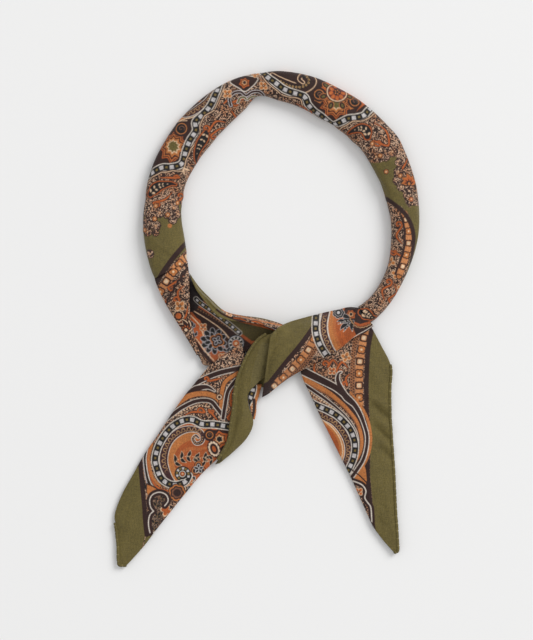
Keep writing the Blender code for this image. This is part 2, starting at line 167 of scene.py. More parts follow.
RIGHT_TAIL = [
    (19.2, -26.4, 58.6, -3.0, 4.6, 4.6, 0.8),
    (21.0, -33.0, 64.4, -13.9, 4.4, 3.8, 1.2),
    (25.2, -41.7, 69.8, -25.4, 4.0, 3.2, 1.4),
    (30.3, -52.9, 69.5, -38.0, 3.6, 2.8, 1.4),
    (35.9, -64.1, 69.7, -53.0, 3.3, 2.7, 1.2),
    (41.5, -75.3, 70.6, -68.0, 3.0, 2.6, 1.0),
    (47.1, -86.5, 71.6, -82.0, 2.9, 2.6, 0.8),
    (52.2, -97.7, 72.2, -95.0, 2.8, 2.6, 0.6),
    (57.2, -108.9, 72.8, -107.5, 2.7, 2.6, 0.4),
    (60.6, -116.0, 73.4, -115.6, 2.6, 2.5, 0.3),
    (66.2, -123.6, 73.8, -123.4, 2.5, 2.5, 0.1),
    (71.2, -129.2, 74.2, -129.2, 2.4, 2.4, 0.0),
]
KNOT_CORE = [
    (-5.0, -35.4, -0.8, -11.8, 2.6, 6.6, 1.6),
    (1.4, -37.6, 6.2, -9.0, 4.2, 8.0, 3.4),
    (10.4, -29.6, 14.2, -6.4, 7.6, 8.2, 4.4),
    (20.6, -23.2, 22.4, -3.4, 8.2, 7.8, 4.4),
    (30.6, -17.6, 31.0, -1.0, 7.2, 6.8, 3.4),
    (41.0, -11.2, 41.0, 2.0, 5.2, 5.0, 2.0),
    (49.4, -6.0, 47.4, 4.6, 4.2, 4.2, 2.0),
    (56.2, -2.4, 51.4, 5.8, 3.6, 3.6, 1.6),
]
KNOT_WRAP = [
    (60.0, -3.4, 52.0, 7.1, 5.6, 5.0, 2.6),
    (55.4, -6.9, 46.8, 7.5, 6.2, 4.6, 3.2),
    (48.6, -10.0, 41.0, 6.2, 7.2, 4.2, 4.4),
    (41.0, -16.2, 34.4, 4.8, 7.6, 4.2, 6.4),
    (33.0, -20.6, 27.6, 3.2, 7.8, 4.4, 8.2),
    (23.4, -26.2, 21.0, 1.4, 7.8, 4.8, 9.2),
    (14.3, -31.4, 14.0, -0.6, 7.0, 6.2, 9.6),
    (7.6, -36.2, 8.6, -3.0, 6.6, 8.6, 9.0),
    (2.0, -40.8, 5.2, -5.6, 5.6, 10.6, 7.4),
    (-1.4, -42.8, 3.0, -8.2, 4.6, 10.8, 5.6),
]
FALL = [
    (0.6, -8.2, 5.4, -7.4, 12.2, 12.8, 0.6),
    (-4.4, -11.4, 4.6, -12.0, 11.2, 12.0, 1.2),
    (-9.2, -18.2, 3.6, -20.4, 10.6, 10.8, 1.8),
    (-12.9, -26.0, 2.2, -28.6, 9.8, 9.6, 1.8),
    (-15.7, -33.4, -4.0, -34.6, 9.0, 8.8, 1.6),
    (-17.1, -41.2, -9.6, -41.0, 8.0, 8.2, 1.2),
    (-17.7, -49.0, -9.2, -48.4, 7.2, 7.2, 1.2),
    (-19.2, -58.4, -6.8, -57.2, 6.2, 6.2, 1.4),
    (-20.3, -66.6, -10.4, -65.8, 5.4, 5.4, 1.2),
    (-23.8, -74.0, -18.0, -73.6, 4.8, 4.8, 0.8),
    (-27.6, -80.2, -25.4, -79.8, 4.4, 4.4, 0.2),
]
CURL = [
    (-8.4, -36.6, -2.0, -36.2, 6.4, 4.6, 0.2),
    (-9.6, -41.4, -3.4, -42.0, 6.2, 3.4, 0.2),
    (-9.4, -46.0, -4.8, -46.4, 5.6, 3.0, 0.2),
    (-8.4, -50.6, -5.0, -51.0, 5.0, 2.8, 0.2),
    (-8.2, -54.8, -5.8, -55.2, 4.4, 2.8, 0.1),
]


def smooth_at(rows, steps):
    """A smooth curve through the rows, at these row numbers."""
    table = np.asarray(rows, float)
    last = len(table) - 1
    first = np.clip(steps.astype(int), 0, last - 1)
    t = (steps - first).reshape((-1,) + (1,) * (table.ndim - 1))
    before = table[np.maximum(first - 1, 0)]
    start, end = table[first], table[first + 1]
    after = table[np.minimum(first + 2, last)]
    leaving, arriving = (end - before) / 2, (after - start) / 2
    return (
        start * (2 * t**3 - 3 * t**2 + 1)
        + leaving * (t**3 - 2 * t**2 + t)
        + end * (3 * t**2 - 2 * t**3)
        + arriving * (t**3 - t**2)
    )


def even_steps(rows, gap):
    """Row numbers at which the middle of a stretch moves on by one gap."""
    dense = np.linspace(0, len(rows) - 1, 1200)
    table = smooth_at(rows, dense)
    middle = (table[:, 0:2] + table[:, 2:4]) / 2
    run = np.concatenate([[0], np.cumsum(np.linalg.norm(np.diff(middle, axis=0), axis=1))])
    return np.interp(np.linspace(0, run[-1], int(run[-1] / gap) + 2), run, dense)


def units(plan):
    """Plan millimetres as frame units."""
    return np.stack([plan[..., 0] / UNIT + FRAME_X, FRAME_Y - plan[..., 1] / UNIT], axis=-1)


def plan_of(points):
    """Frame units as plan millimetres."""
    points = np.asarray(points, float)
    return np.stack([(points[..., 0] - FRAME_X) * UNIT, (FRAME_Y - points[..., 1]) * UNIT], axis=-1)


def tree_of(node):
    """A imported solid's faces in millimetres, for finding where a ray meets them."""
    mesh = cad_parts[node].data
    points = [vertex.co / MM for vertex in mesh.vertices]
    return BVHTree.FromPolygons(points, [list(face.vertices) for face in mesh.polygons])


def tops(node, plan):
    """The height of a solid's upper face at each of these places."""
    tree = tree_of(node)
    heights = np.full(plan.shape[:-1], np.nan)
    for index in np.ndindex(heights.shape):
        x, y = plan[index]
        hit = tree.ray_cast(Vector((x - MIDDLE_X, y - MIDDLE_Y, 60)), Vector((0, 0, -1)))[0]
        if hit is not None:
            heights[index] = hit.z
    for line in heights:
        known = np.flatnonzero(~np.isnan(line))
        if len(known):
            line[:] = np.interp(np.arange(len(line)), known, line[known])
    return heights


def stretch(node, rows, droop=0.3, inset=(FOLD, FOLD), gap=None, coarse=(30, 9)):
    """The upper face of a stretch as a fine grid of points, at the height of its solid."""
    gap = gap or GAP

    def surface(steps, u, inset_a, inset_b):
        table = smooth_at(rows, steps)
        a, b = table[:, 0:2], table[:, 2:4]
        width = np.linalg.norm(b - a, axis=1)[:, None]
        way = (b - a) / width
        a = a + way * np.minimum(inset_a, width * 0.4)
        b = b - way * np.minimum(inset_b, width * 0.4)
        plan = a[:, None] * (1 - u)[None, :, None] + b[:, None] * u[None, :, None]
        height = table[:, 4:5] * (1 - u) + table[:, 5:6] * u + table[:, 6:7] * 4 * u * (1 - u)
        return plan, height - droop * np.abs(2 * u - 1) ** 8

    steps = even_steps(rows, gap)
    widest = max(math.dist(row[0:2], row[2:4]) for row in rows)
    u = np.linspace(0, 1, int(widest / gap) + 2)
    plan, height = surface(steps, u, *inset)
    index = np.linspace(0, math.pi, coarse[1])
    rough_u = (1 - np.cos(index)) / 2
    rough_steps = np.linspace(0.02, len(rows) - 1.02, coarse[0])
    rough_plan, rough_height = surface(rough_steps, rough_u, 0.2, 0.2)
    lift = tops(node, rough_plan) - rough_height
    lift = smooth_at(lift, steps / (len(rows) - 1) * (coarse[0] - 1))
    lift = smooth_at(lift.T, np.arccos(1 - 2 * u) / math.pi * (coarse[1] - 1)).T
    return np.concatenate([plan, (height + lift)[..., None]], axis=2)


def folded(radius=FOLD, under=1.6):
    """The profile of a folded edge: steps outward and down from a grid's edge, round and back under it."""
    angles = np.linspace(0, math.pi, 8)[1:]
    profile = [(radius * math.sin(k), radius * (1 - math.cos(k))) for k in angles]
    return profile + [(-under * 0.4, 2 * radius), (-under, 2 * radius + 0.05)]


def unit(ways):
    """The ways at a length of 1 each."""
    return ways / np.maximum(np.linalg.norm(ways, axis=-1), 1e-9)[..., None]


def with_edge(grid, places, side, profile):
    """The grid and its places in the print, with a profile's steps beyond its first (0) or last (-1) row."""
    inner = 3 if side == 0 else -4
    edge, spot = grid[:, side], places[:, side]
    away = unit((edge - grid[:, inner])[:, :2])
    drift = unit(spot - places[:, inner])
    columns, spots, run, last = [], [], np.zeros(len(edge)), edge
    for out, down in profile:
        point = edge.copy()
        point[:, :2] += away * out
        point[:, 2] -= down
        run = run + np.linalg.norm(point - last, axis=1)
        columns.append(point)
        spots.append(spot + drift * run[:, None] / UNIT)
        last = point
    beyond, beyond_places = np.stack(columns, 1), np.stack(spots, 1)
    if side == 0:
        return np.hstack([beyond[:, ::-1], grid]), np.hstack([beyond_places[:, ::-1], places])
    return np.hstack([grid, beyond]), np.hstack([places, beyond_places])


def edged(grid, a, b, start, end):
    """The grid with its four edges turned as their profiles say, and its places in the print."""
    places = units(grid[..., :2])
    grid, places = with_edge(grid, places, 0, a)
    grid, places = with_edge(grid, places, -1, b)
    grid, places = grid.swapaxes(0, 1), places.swapaxes(0, 1)
    grid, places = with_edge(grid, places, 0, start)
    grid, places = with_edge(grid, places, -1, end)
    return grid.swapaxes(0, 1), places.swapaxes(0, 1)


# ---------------------------------------------------------------- the print

OLIVE = (93, 82, 40)
CHOCOLATE = (41, 19, 14)
TAN = (169, 103, 52)
ORANGE = (165, 82, 33)
DEEP = (152, 75, 32)
CREAM = (202, 170, 138)
BLACK = (17, 13, 13)
GREY = (178, 173, 172)
WHITE = (194, 185, 174)
SEED = (112, 92, 44)
GROUND = (42, 25, 19)
PINK = (52, 32, 27)
PLUM = (54, 26, 27)
UMBER = (110, 70, 50)
SOFT = 0.6  # how many frame units a painted edge takes


def curve(points, closed=False, per=7):
    """A smooth line through the points."""
    points = np.asarray(points, float)
    if closed:
        points = np.concatenate([points[-1:], points, points[:2]])
    steps = np.linspace(0, len(points) - 1, (len(points) - 1) * per + 1)
    line = smooth_at(points, steps)
    return line[per : len(line) - per] if closed else line


def spiral(x, y, radius, start, turns, tail=()):
    """A line from the middle of a curl outwards, and on through the tail."""
    steps = np.linspace(0.12, 1, 14)
    angles = np.radians(start) + TAU * turns * (steps - 1)
    line = np.stack([x + radius * steps * np.cos(angles), y + radius * steps * np.sin(angles)], axis=1)
    return curve(np.concatenate([line, np.reshape(tail, (-1, 2))]), per=4)


def smooth(line):
    """A list of points as a smooth line; an array is a line already."""
    return line if isinstance(line, np.ndarray) else curve(line)


def edge_of(off):
    """How much of a form shows this far outside its edge: 1 inside, 0 outside, with a soft edge."""
    return np.clip(0.5 - off / SOFT, 0, 1)


class Print:
    """The colours of one piece's points, painted in order."""

    def __init__(self, places, ground, filler=0.0, at=None):
        self.shape = places.shape[:-1]
        self.points = places.reshape(-1, 2)
        self.colour = np.tile(np.array(ground, float), (len(self.points), 1))
        self.filler = np.full(len(self.points), float(filler))
        self.at = at or (lambda points: points)

    def lay(self, index, amount, colour, filler=0.0):
        """Cover these points with a colour and a share of the filler, each by its amount, 0 to 1."""
        amount = np.clip(amount, 0, 1)
        self.colour[index] += (np.array(colour, float) - self.colour[index]) * amount[:, None]
        self.filler[index] += (filler - self.filler[index]) * amount

    def field(self, line, reach, closed=False):
        """The points within reach of a line: how far along it they are, and how far off it."""
        line = self.at(np.asarray(line, float))
        if closed:
            line = np.concatenate([line, line[:1]])
        low, high = line.min(0) - reach, line.max(0) + reach
        index = np.flatnonzero(((self.points >= low) & (self.points <= high)).all(axis=1))
        points = self.points[index]
        near = np.full(len(index), 1e9)
        along, off, run = np.zeros(len(index)), np.zeros(len(index)), 0.0
        inside = np.zeros(len(index), bool)
        for start, end in zip(line, line[1:]):
            way = end - start
            length = max(math.hypot(*way), 1e-9)
            from_start = points - start
            t = np.clip((from_start @ way) / length**2, 0, 1)
            gap = np.hypot(from_start[:, 0] - t * way[0], from_start[:, 1] - t * way[1])
            turn = way[0] * from_start[:, 1] - way[1] * from_start[:, 0]
            better = gap < near
            near[better] = gap[better]
            along[better] = run + t[better] * length
            off[better] = np.where(turn[better] >= 0, gap[better], -gap[better])
            run += length
            if closed:
                crosses = (start[1] > points[:, 1]) != (end[1] > points[:, 1])
                inside ^= crosses & (
                    points[:, 0] < start[0] + (points[:, 1] - start[1]) * way[0] / (way[1] or 1e-9)
                )
        if closed:
            off = np.where(inside, -near, near)
        return index, along, off, run

    def area(self, line, colour, filler=0.0, grow=0.0):
        """The inside of a closed line, and this much more all round."""
        index, _, off, _ = self.field(line, 2 + abs(grow), closed=True)
        self.lay(index, edge_of(off - grow), colour, filler)

    def stroke(self, line, width, colour, taper=(1.0, 1.0)):
        """A line of this width, which narrows to these shares of it at its ends."""
        widest = width if np.isscalar(width) else max(width)
        index, along, off, run = self.field(smooth(line), widest / 2 + 2)
        share = along / run
        if np.isscalar(width):
            wide = width * np.interp(share, [0, 0.3, 0.7, 1], [taper[0], 1, 1, taper[1]])
        else:
            wide = np.interp(share, np.linspace(0, 1, len(width)), width)
        self.lay(index, edge_of(np.abs(off) - wide / 2) * np.clip(wide * 2, 0, 1), colour)

    def rimmed(self, line, width, colour, rim=WHITE, extra=0.86, taper=(1.0, 1.0)):
        if np.isscalar(width):
            self.stroke(line, width + 2 * extra, rim, taper=taper)
        else:
            self.stroke(line, [w + 2 * extra for w in width], rim)
        self.stroke(line, width, colour, taper)

    def squares(self, line, width=4.4, pitch=10.6, rim=True):
        """The band of pale squares between dark ones."""
        line = smooth(line)
        if rim:
            self.stroke(line, width + 4.2, WHITE)
        self.stroke(line, width + 2.0, BLACK)
        index, along, off, _ = self.field(line, width)
        place = (along / pitch) % 1
        pale = np.maximum(np.abs(place - 0.25) * pitch - 0.2 * pitch, np.abs(off) - width / 2)
        self.lay(index, edge_of(pale), GREY)
        seed = np.maximum(np.abs(place - 0.75) * pitch - 1.2, np.abs(off) - 1.1)
        self.lay(index, edge_of(seed), SEED)

    def squiggle(self, line, width):
        """A chocolate band with a fine looped line along it."""
        self.rimmed(line, width, PLUM)
        self.looped(line, width)

    def looped(self, line, width):
        """A fine line that loops and waves along a band of this width."""
        pitch = 5.6
        index, along, off, run = self.field(smooth(line), 5)
        inner = np.clip(np.minimum(along, run - along) / 6, 0, 1)
        tall = min(width * 0.27, 1.9)
        loop = np.abs(np.hypot((along / pitch % 1 - 0.5) * pitch, off) - tall)
        wave = np.abs(off - tall * np.cos(TAU * along / pitch))
        self.lay(index, edge_of(np.minimum(wave, loop + 0.2) - 0.44) * inner * 0.95, (178, 142, 94))

    def chain(self, line, width=9.5, pitch=12.0, start=0.0, size=1.0):
        """The light strip with squares and quatrefoils by turns."""
        line = smooth(line)
        self.stroke(line, width, (180, 118, 72))
        index, along, off, _ = self.field(line, width)
        number = np.floor((along + start) / pitch)
        a = np.abs((along + start) / pitch - number - 0.5) * pitch / size
        b = np.abs(off) / size
        square = (a**5 + b**5) ** 0.2
        lobes = np.maximum(np.hypot(a - 1.5, b - 1.5) - 2.3, -99)
        lobes = np.minimum(lobes, np.maximum(a, b) - 2.6)
        odd = number % 2 == 1
        rim = np.where(odd, np.abs(lobes - 0.3) - 0.62, np.abs(square - 3.5) - 0.66)
        self.lay(index, edge_of(rim), CHOCOLATE)
        middle = np.where(odd, np.hypot(a, b) - 1.2, square - 2.1)
        self.lay(index, edge_of(np.where(odd, lobes + 0.4, 9.0)), TAN)
        self.lay(index, edge_of(middle), (206, 178, 146))

    def ticks(self, line, rows=3, spread=1.9, pitch=2.6):
        """Fine rows of dark ticks."""
        line = smooth(line)
        width = rows * spread
        self.stroke(line, width + 0.6, (150, 98, 62))
        index, along, off, _ = self.field(line, width)
        for k in range(rows):
            middle = (k - (rows - 1) / 2) * spread
            tick = np.maximum(np.abs(((along + k * pitch / 2) / pitch) % 1 - 0.5) * pitch - 0.75,
                np.abs(off - middle) - 0.6)
            self.lay(index, edge_of(tick), CHOCOLATE)

    def blob(self, x, y, rx, ry, turn, colour, filler=0.0, lobes=0, depth=0.0):
        """An ellipse, with lobes if it has any."""
        x, y = self.at(np.array([[x, y]], float))[0]
        reach = max(rx, ry) + 2
        index = np.flatnonzero((np.abs(self.points - (x, y)) < reach).all(axis=1))
        away = self.points[index] - (x, y)
        turn = math.radians(turn)
        u = (away[:, 0] * math.cos(turn) + away[:, 1] * math.sin(turn)) / rx
        v = (-away[:, 0] * math.sin(turn) + away[:, 1] * math.cos(turn)) / ry
        radius = np.hypot(u, v)
        size = 1.0
        if lobes:
            size = 1 - depth + depth * np.abs(np.cos(lobes * np.arctan2(v, u) / 2))
        self.lay(index, edge_of((radius - size) * min(rx, ry)), colour, filler)

    def petals(self, x, y, ring, count, long, wide, colour, rim=None, start=0.0):
        """A ring of petals round a point."""
        for k in range(count):
            angle = start + 360 * k / count
            px, py = x + ring * math.cos(math.radians(angle)), y + ring * math.sin(math.radians(angle))
            if rim is not None:
                self.blob(px, py, long + 0.8, wide + 0.8, angle, rim)
            self.blob(px, py, long, wide, angle, colour)

    def rosette(self, x, y, radius, colours, lobes=10, depth=0.14):
        """A round flower: each colour fills a smaller share of it."""
        for share, colour in colours:
            inner = share > 0.55
            self.blob(x, y, radius * share, radius * share, 0, colour, lobes=lobes if inner else 0,
                depth=depth)

    def boteh(self, line, width):
        """A small paisley drop: the line runs from its round head to its tip."""
        line = smooth(line)
        widths = [0.55 * width, 0.95 * width, width, 0.86 * width, 0.62 * width, 0.4 * width, 0.2 * width,
            0.0]
        for extra, colour in ((4.4, CHOCOLATE), (3.4, ORANGE), (1.2, CHOCOLATE), (0.0, BLACK)):
            self.stroke(line, [w + extra for w in widths], colour)
        points = self.at(line)
        keep, self.at = self.at, lambda p: p
        for share in (0.08, 0.24, 0.4, 0.54, 0.68):
            x, y = points[int(share * (len(points) - 1))]
            ahead = points[min(int(share * (len(points) - 1)) + 2, len(points) - 1)] - (x, y)
            angle = math.degrees(math.atan2(ahead[1], ahead[0]))
            size = 0.3 * width * (1.08 - share)
            for turn in (55, -55) if share < 0.6 else (0,):
                away = math.radians(angle + turn)
                self.blob(x + size * math.cos(away), y + size * math.sin(away), size * 0.74, size * 0.46,
                    angle + turn, CREAM)
        self.at = keep

    def scrolls(self, lines, width=1.9):
        for line in lines:
            self.rimmed(np.asarray(line, float), width, ORANGE, (44, 26, 24), 0.6, taper=(0.7, 0.35))

    def clumps(self, spots):
        """Flower heads at the edge of the filler: place and share of the largest one's size."""
        radius = 7.0
        for x, y, share in spots:
            self.blob(x, y, radius * share + 0.8, radius * share + 0.8, 0, CHOCOLATE, lobes=9, depth=0.16)
            self.blob(x, y, radius * share, radius * share, 0, PINK, 1.0, lobes=9, depth=0.16)
        for x, y, share in spots[::2]:
            self.blob(x, y, radius * share * 0.3, radius * share * 0.3, 20, TAN, lobes=6, depth=0.35)
            self.blob(x, y, 0.8, 0.8, 0, CREAM)

    def stars(self, spots, size=2.6):
        """Small orange stars in the filler."""
        for x, y in spots:
            self.blob(x, y, size + 0.7, size + 0.7, 15, CHOCOLATE, lobes=6, depth=0.4)
            self.blob(x, y, size, size, 15, TAN, lobes=6, depth=0.45)
            self.blob(x, y, 0.8, 0.8, 0, CREAM)


# ---------------------------------------------------------------- meshes and materials


def linear(colour):
    """A picture's colour, 0 to 255, as linear light."""
    share = np.asarray(colour, float) / 255
    return np.where(share <= 0.04045, share / 12.92, ((share + 0.055) / 1.055) ** 2.4)


def put(mesh, name, kind, values):
    """A value at each point of a mesh, which its material reads by name."""
    attribute = mesh.attributes.new(name, kind, "POINT")
    field = {"FLOAT": "value", "FLOAT_VECTOR": "vector", "FLOAT_COLOR": "color"}[kind]
    attribute.data.foreach_set(field, np.ascontiguousarray(values, np.float32).ravel())


def with_column(values, number):
    return np.concatenate([values, np.full((len(values), 1), number)], axis=1)


def mesh_piece(name, points, faces, painted, cloth, finish):
    """A cloth piece from its points in plan millimetres, its four-sided faces, its print and its finish.

    cloth holds each point's place on the flat cloth in millimetres, for the weave.
    """
    mesh = bpy.data.meshes.new(name)
    placed = (points - (MIDDLE_X, MIDDLE_Y, 0.0)) * MM
    placed[:, 2] = np.maximum(placed[:, 2], 0.0)
    mesh.vertices.add(len(placed))
    mesh.vertices.foreach_set("co", placed.astype(np.float32).ravel())
    mesh.loops.add(faces.size)
    mesh.loops.foreach_set("vertex_index", faces.astype(np.int32).ravel())
    mesh.polygons.add(len(faces))
    mesh.polygons.foreach_set("loop_start", np.arange(0, faces.size, faces.shape[1], dtype=np.int32))
    mesh.update(calc_edges=True)
    mesh.validate()
    mesh.polygons.foreach_set("use_smooth", np.ones(len(faces), bool))
    put(mesh, "print", "FLOAT_COLOR", with_column(linear(painted.colour), 1.0))
    put(mesh, "filler", "FLOAT", painted.filler)
    put(mesh, "cloth", "FLOAT_VECTOR", with_column(cloth, 0.0))
    mesh.materials.append(finish)
    item = bpy.data.objects.new(name, mesh)
    bpy.context.scene.collection.objects.link(item)
    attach(item, "root")
    return item


def grid_faces(rows, columns, closed=False):
    """The four-sided faces between a grid's points; closed joins its last column to its first."""
    index = np.arange(rows * columns).reshape(rows, columns)
    if closed:
        index = np.concatenate([index, index[:, :1]], axis=1)
    return np.stack([index[:-1, :-1], index[1:, :-1], index[1:, 1:], index[:-1, 1:]], axis=-1).reshape(-1, 4)


def facing_up(points, faces):
    """The faces, turned over if they look down on the whole."""
    a, b, c = points[faces[:, 0]], points[faces[:, 1]], points[faces[:, 2]]
    return faces if np.cross(b - a, c - a)[:, 2].sum() > 0 else faces[:, ::-1]


def cloth_piece(name, grid, painted, finish, cloth=None):
    """A thin piece on a grid of points."""
    rows, columns = grid.shape[:2]
    points = grid.reshape(-1, 3)
    faces = facing_up(points, grid_faces(rows, columns))
    if cloth is None:
        cloth = painted.points * UNIT
    return mesh_piece(name, points, faces, painted, cloth, finish)


class Nodes:
    """A small builder for a material's node tree."""

    def __init__(self, name):
        self.material = bpy.data.materials.new(name)
        self.material.use_nodes = True
        self.tree = self.material.node_tree
        self.shader = self.tree.nodes["Principled BSDF"]

    def add(self, kind, **values):
        node = self.tree.nodes.new(kind)
        for key, value in values.items():
            if hasattr(node, key) and key not in node.inputs:
                setattr(node, key, value)
            else:
                self.link(value, node.inputs[key])
        return node

    def link(self, value, socket):
        if isinstance(value, bpy.types.NodeSocket):
            self.tree.links.new(value, socket)
        else:
            socket.default_value = value

    def math(self, operation, a, b=None):
        node = self.tree.nodes.new("ShaderNodeMath")
        node.operation = operation
        for socket, value in zip(node.inputs, (a, b)):
            if value is not None:
                self.link(value, socket)
        return node.outputs[0]

    def mix(self, share, a, b, blend="MIX"):
        node = self.tree.nodes.new("ShaderNodeMix")
        node.data_type = "RGBA"
        node.blend_type = blend
        self.link(share, node.inputs[0])
        self.link(a, node.inputs[6])
        self.link(b, node.inputs[7])
        return node.outputs[2]

    def ramp(self, value, low, high):
        """0 below low and 1 above high."""
        node = self.tree.nodes.new("ShaderNodeMapRange")
        self.link(value, node.inputs[0])
        node.inputs[1].default_value = low
        node.inputs[2].default_value = high
        node.clamp = True
        return node.outputs[0]


def rgba(colour):
    return (*[float(c) for c in linear(colour)], 1.0)


def silk(name, roughness=0.5, sheen=0.06, filler=True):
    """Printed silk twill: the painted print, its fine filler, the diagonal weave and a soft sheen."""
    n = Nodes(name)
    colour = n.add("ShaderNodeAttribute", attribute_name="print").outputs["Color"]
    cloth = n.add("ShaderNodeAttribute", attribute_name="cloth").outputs["Vector"]
    if filler:
        amount = n.add("ShaderNodeAttribute", attribute_name="filler").outputs["Fac"]
        bend = n.add("ShaderNodeTexNoise", Vector=cloth, Scale=0.5, Detail=1.0)
        bent = n.add("ShaderNodeVectorMath", operation="MULTIPLY_ADD")
        n.link(bend.outputs["Color"], bent.inputs[0])
        bent.inputs[1].default_value = (2.6, 2.6, 0.0)
        n.link(cloth, bent.inputs[2])
        grains = n.add("ShaderNodeTexVoronoi", Vector=bent.outputs[0], Scale=1.16, Randomness=0.62)
        large = n.add("ShaderNodeTexNoise", Vector=cloth, Scale=0.16, Detail=1.0).outputs[0]
        tone = n.mix(n.ramp(large, 0.46, 0.66), rgba((190, 158, 132)), rgba((176, 124, 88)))
        tone = n.mix(n.math("MULTIPLY", n.ramp(grains.outputs["Color"], 0.45, 0.9), 0.4), tone,
            rgba((176, 100, 56)))
        grain = n.math("MULTIPLY", n.ramp(grains.outputs["Distance"], 0.54, 0.4), amount)
        colour = n.mix(n.math("MULTIPLY", grain, 0.92), colour, tone)
    split = n.add("ShaderNodeSeparateXYZ", Vector=cloth)
    x, y = split.outputs[0], split.outputs[1]
    rib = n.math("SINE", n.math("MULTIPLY", n.math("ADD", x, y), TAU / (THREAD_PITCH * 2)))
    thread = n.math("SINE", n.math("MULTIPLY", x, TAU / THREAD_PITCH))
    cross = n.math("SINE", n.math("MULTIPLY", y, TAU / THREAD_PITCH))
    woven = n.math("ADD", n.math("MULTIPLY", rib, 0.5), n.math("MULTIPLY", n.math("MULTIPLY", thread,
        cross), 0.5))
    slub = n.add("ShaderNodeTexNoise", Vector=cloth, Scale=1.15, Detail=4.0, Roughness=0.7).outputs[0]
    streaks = []
    for across, along in ((0.22, 2.6), (2.6, 0.22)):
        drawn = n.add("ShaderNodeVectorMath", operation="MULTIPLY")
        n.link(cloth, drawn.inputs[0])
        drawn.inputs[1].default_value = (across, along, 0.0)
        streaks.append(n.add("ShaderNodeTexNoise", Vector=drawn.outputs[0], Scale=1.0,
            Detail=2.0).outputs[0])
    threads = n.math("SUBTRACT", n.math("ADD", streaks[0], streaks[1]), 1.0)
    broad = n.add("ShaderNodeTexNoise", Vector=cloth, Scale=0.09, Detail=2.0).outputs[0]
    twill = n.math("SINE", n.math("MULTIPLY", n.math("ADD", x, y), TAU / 1.35))
    specks = n.add("ShaderNodeTexVoronoi", Vector=cloth, Scale=1.35, Randomness=0.9).outputs["Distance"]
    shade = n.math("MULTIPLY", woven, 0.06)
    # what lightens and darkens the cloth, its middle value, and its share
    for source, middle, share in (
        (slub, 0.5, 0.95),
        (twill, 0.0, 0.03),
        (specks, 0.4, 0.42),
        (threads, 0.0, 0.62),
        (broad, 0.5, 0.42),
    ):
        swing = n.math("SUBTRACT", source, middle) if middle else source
        shade = n.math("ADD", shade, n.math("MULTIPLY", swing, share))
    value = n.math("ADD", shade, 1.0)
    colour = n.mix(1.0, colour, n.add("ShaderNodeCombineXYZ", X=value, Y=value, Z=value).outputs[0],
        "MULTIPLY")
    n.link(colour, n.shader.inputs["Base Color"])
    rough = n.math("ADD", n.math("MULTIPLY", n.math("SUBTRACT", slub, 0.5), 0.25), roughness)
    n.link(rough, n.shader.inputs["Roughness"])
    height = n.math("ADD", n.math("MULTIPLY", woven, 0.35), n.math("ADD", slub, threads))
    bump = n.add("ShaderNodeBump", Height=height, Strength=0.6, Distance=0.0003)
    n.link(bump.outputs[0], n.shader.inputs["Normal"])
    n.shader.inputs["Specular IOR Level"].default_value = 0.26
    n.shader.inputs["Sheen Weight"].default_value = sheen
    n.shader.inputs["Sheen Roughness"].default_value = 0.45
    return n.material


paisley = silk("paisley_silk")
olive = silk("olive_silk", roughness=0.48)
rust = silk("rust_silk", roughness=0.46, sheen=0.1)
hem_silk = silk("rolled_hem", roughness=0.6, filler=False)


# ---------------------------------------------------------------- shapes of the pieces


def creased(grid, creases):
    """The grid with soft troughs (below 0) and ridges (above 0), each along a line of frame units."""
    field = Print(units(grid[..., :2]), OLIVE)
    lift = np.zeros(len(field.points))
    for points, width, depth in creases:
        index, along, off, run = field.field(curve(points), 3 * width)
        rise = np.sin(math.pi * np.clip(along / run, 0, 1)) ** 0.6
        lift[index] += depth * np.exp(-((off / width) ** 2)) * rise
    shaped = grid.copy()
    shaped[..., 2] += lift.reshape(grid.shape[:2])
    return shaped


def uneven(grid, size, depth, seed):
    """The grid with slight soft waves."""
    draw = np.random.default_rng(seed)
    shaped = grid.copy()
    for _ in range(7):
        turn, phase = draw.uniform(0, TAU, 2)
        length = size * draw.uniform(0.7, 1.8)
        way = (grid[..., 0] * math.cos(turn) + grid[..., 1] * math.sin(turn)) / length * TAU
        shaped[..., 2] += depth / 2.6 * np.sin(way + phase)
    return shaped


def rumpled(grid, count, seed, lean, depth=0.3, long=26):
    """The grid with small soft creases of uneven length and depth, leaning about this way (degrees)."""
    draw = np.random.default_rng(seed)
    places = units(grid[..., :2])
    rows, columns = places.shape[:2]
    creases = []
    for _ in range(count):
        x, y = places[draw.integers(rows // 12, rows - rows // 12), draw.integers(0, columns)]
        turn = math.radians(lean + draw.uniform(-28, 28))
        half = long * draw.uniform(0.35, 0.8) / 2
        bow = draw.uniform(-0.16, 0.16) * half
        dx, dy = math.cos(turn) * half, -math.sin(turn) * half
        line = [(x - dx, y - dy), (x + bow * math.sin(turn), y + bow * math.cos(turn)), (x + dx, y + dy)]
        creases.append((line, draw.uniform(1.6, 3.6), depth * draw.choice([-1.0, -0.8,
            0.7]) * draw.uniform(0.5, 1.0)))
    return creased(grid, creases)


def swept(name, loops, painted, finish, cloth):
    """A closed solid through loops of points, the first half of each above its second half."""
    rows, count = loops.shape[:2]
    faces = grid_faces(rows, count, closed=True)
    half = count // 2
    k = np.arange(half - 1)
    cap = np.stack([k, k + 1, count - 2 - k, count - 1 - k], axis=1)
    faces = np.concatenate([faces, cap[:, ::-1], cap + (rows - 1) * count])
    points = loops.reshape(-1, 3)
    a, b, c, d = (points[faces[:, i]] for i in range(4))
    volume = (a * np.cross(b, c)).sum() + (a * np.cross(c, d)).sum()
    if volume < 0:
        faces = faces[:, ::-1]
    return mesh_piece(name, points, faces, painted, cloth, finish)


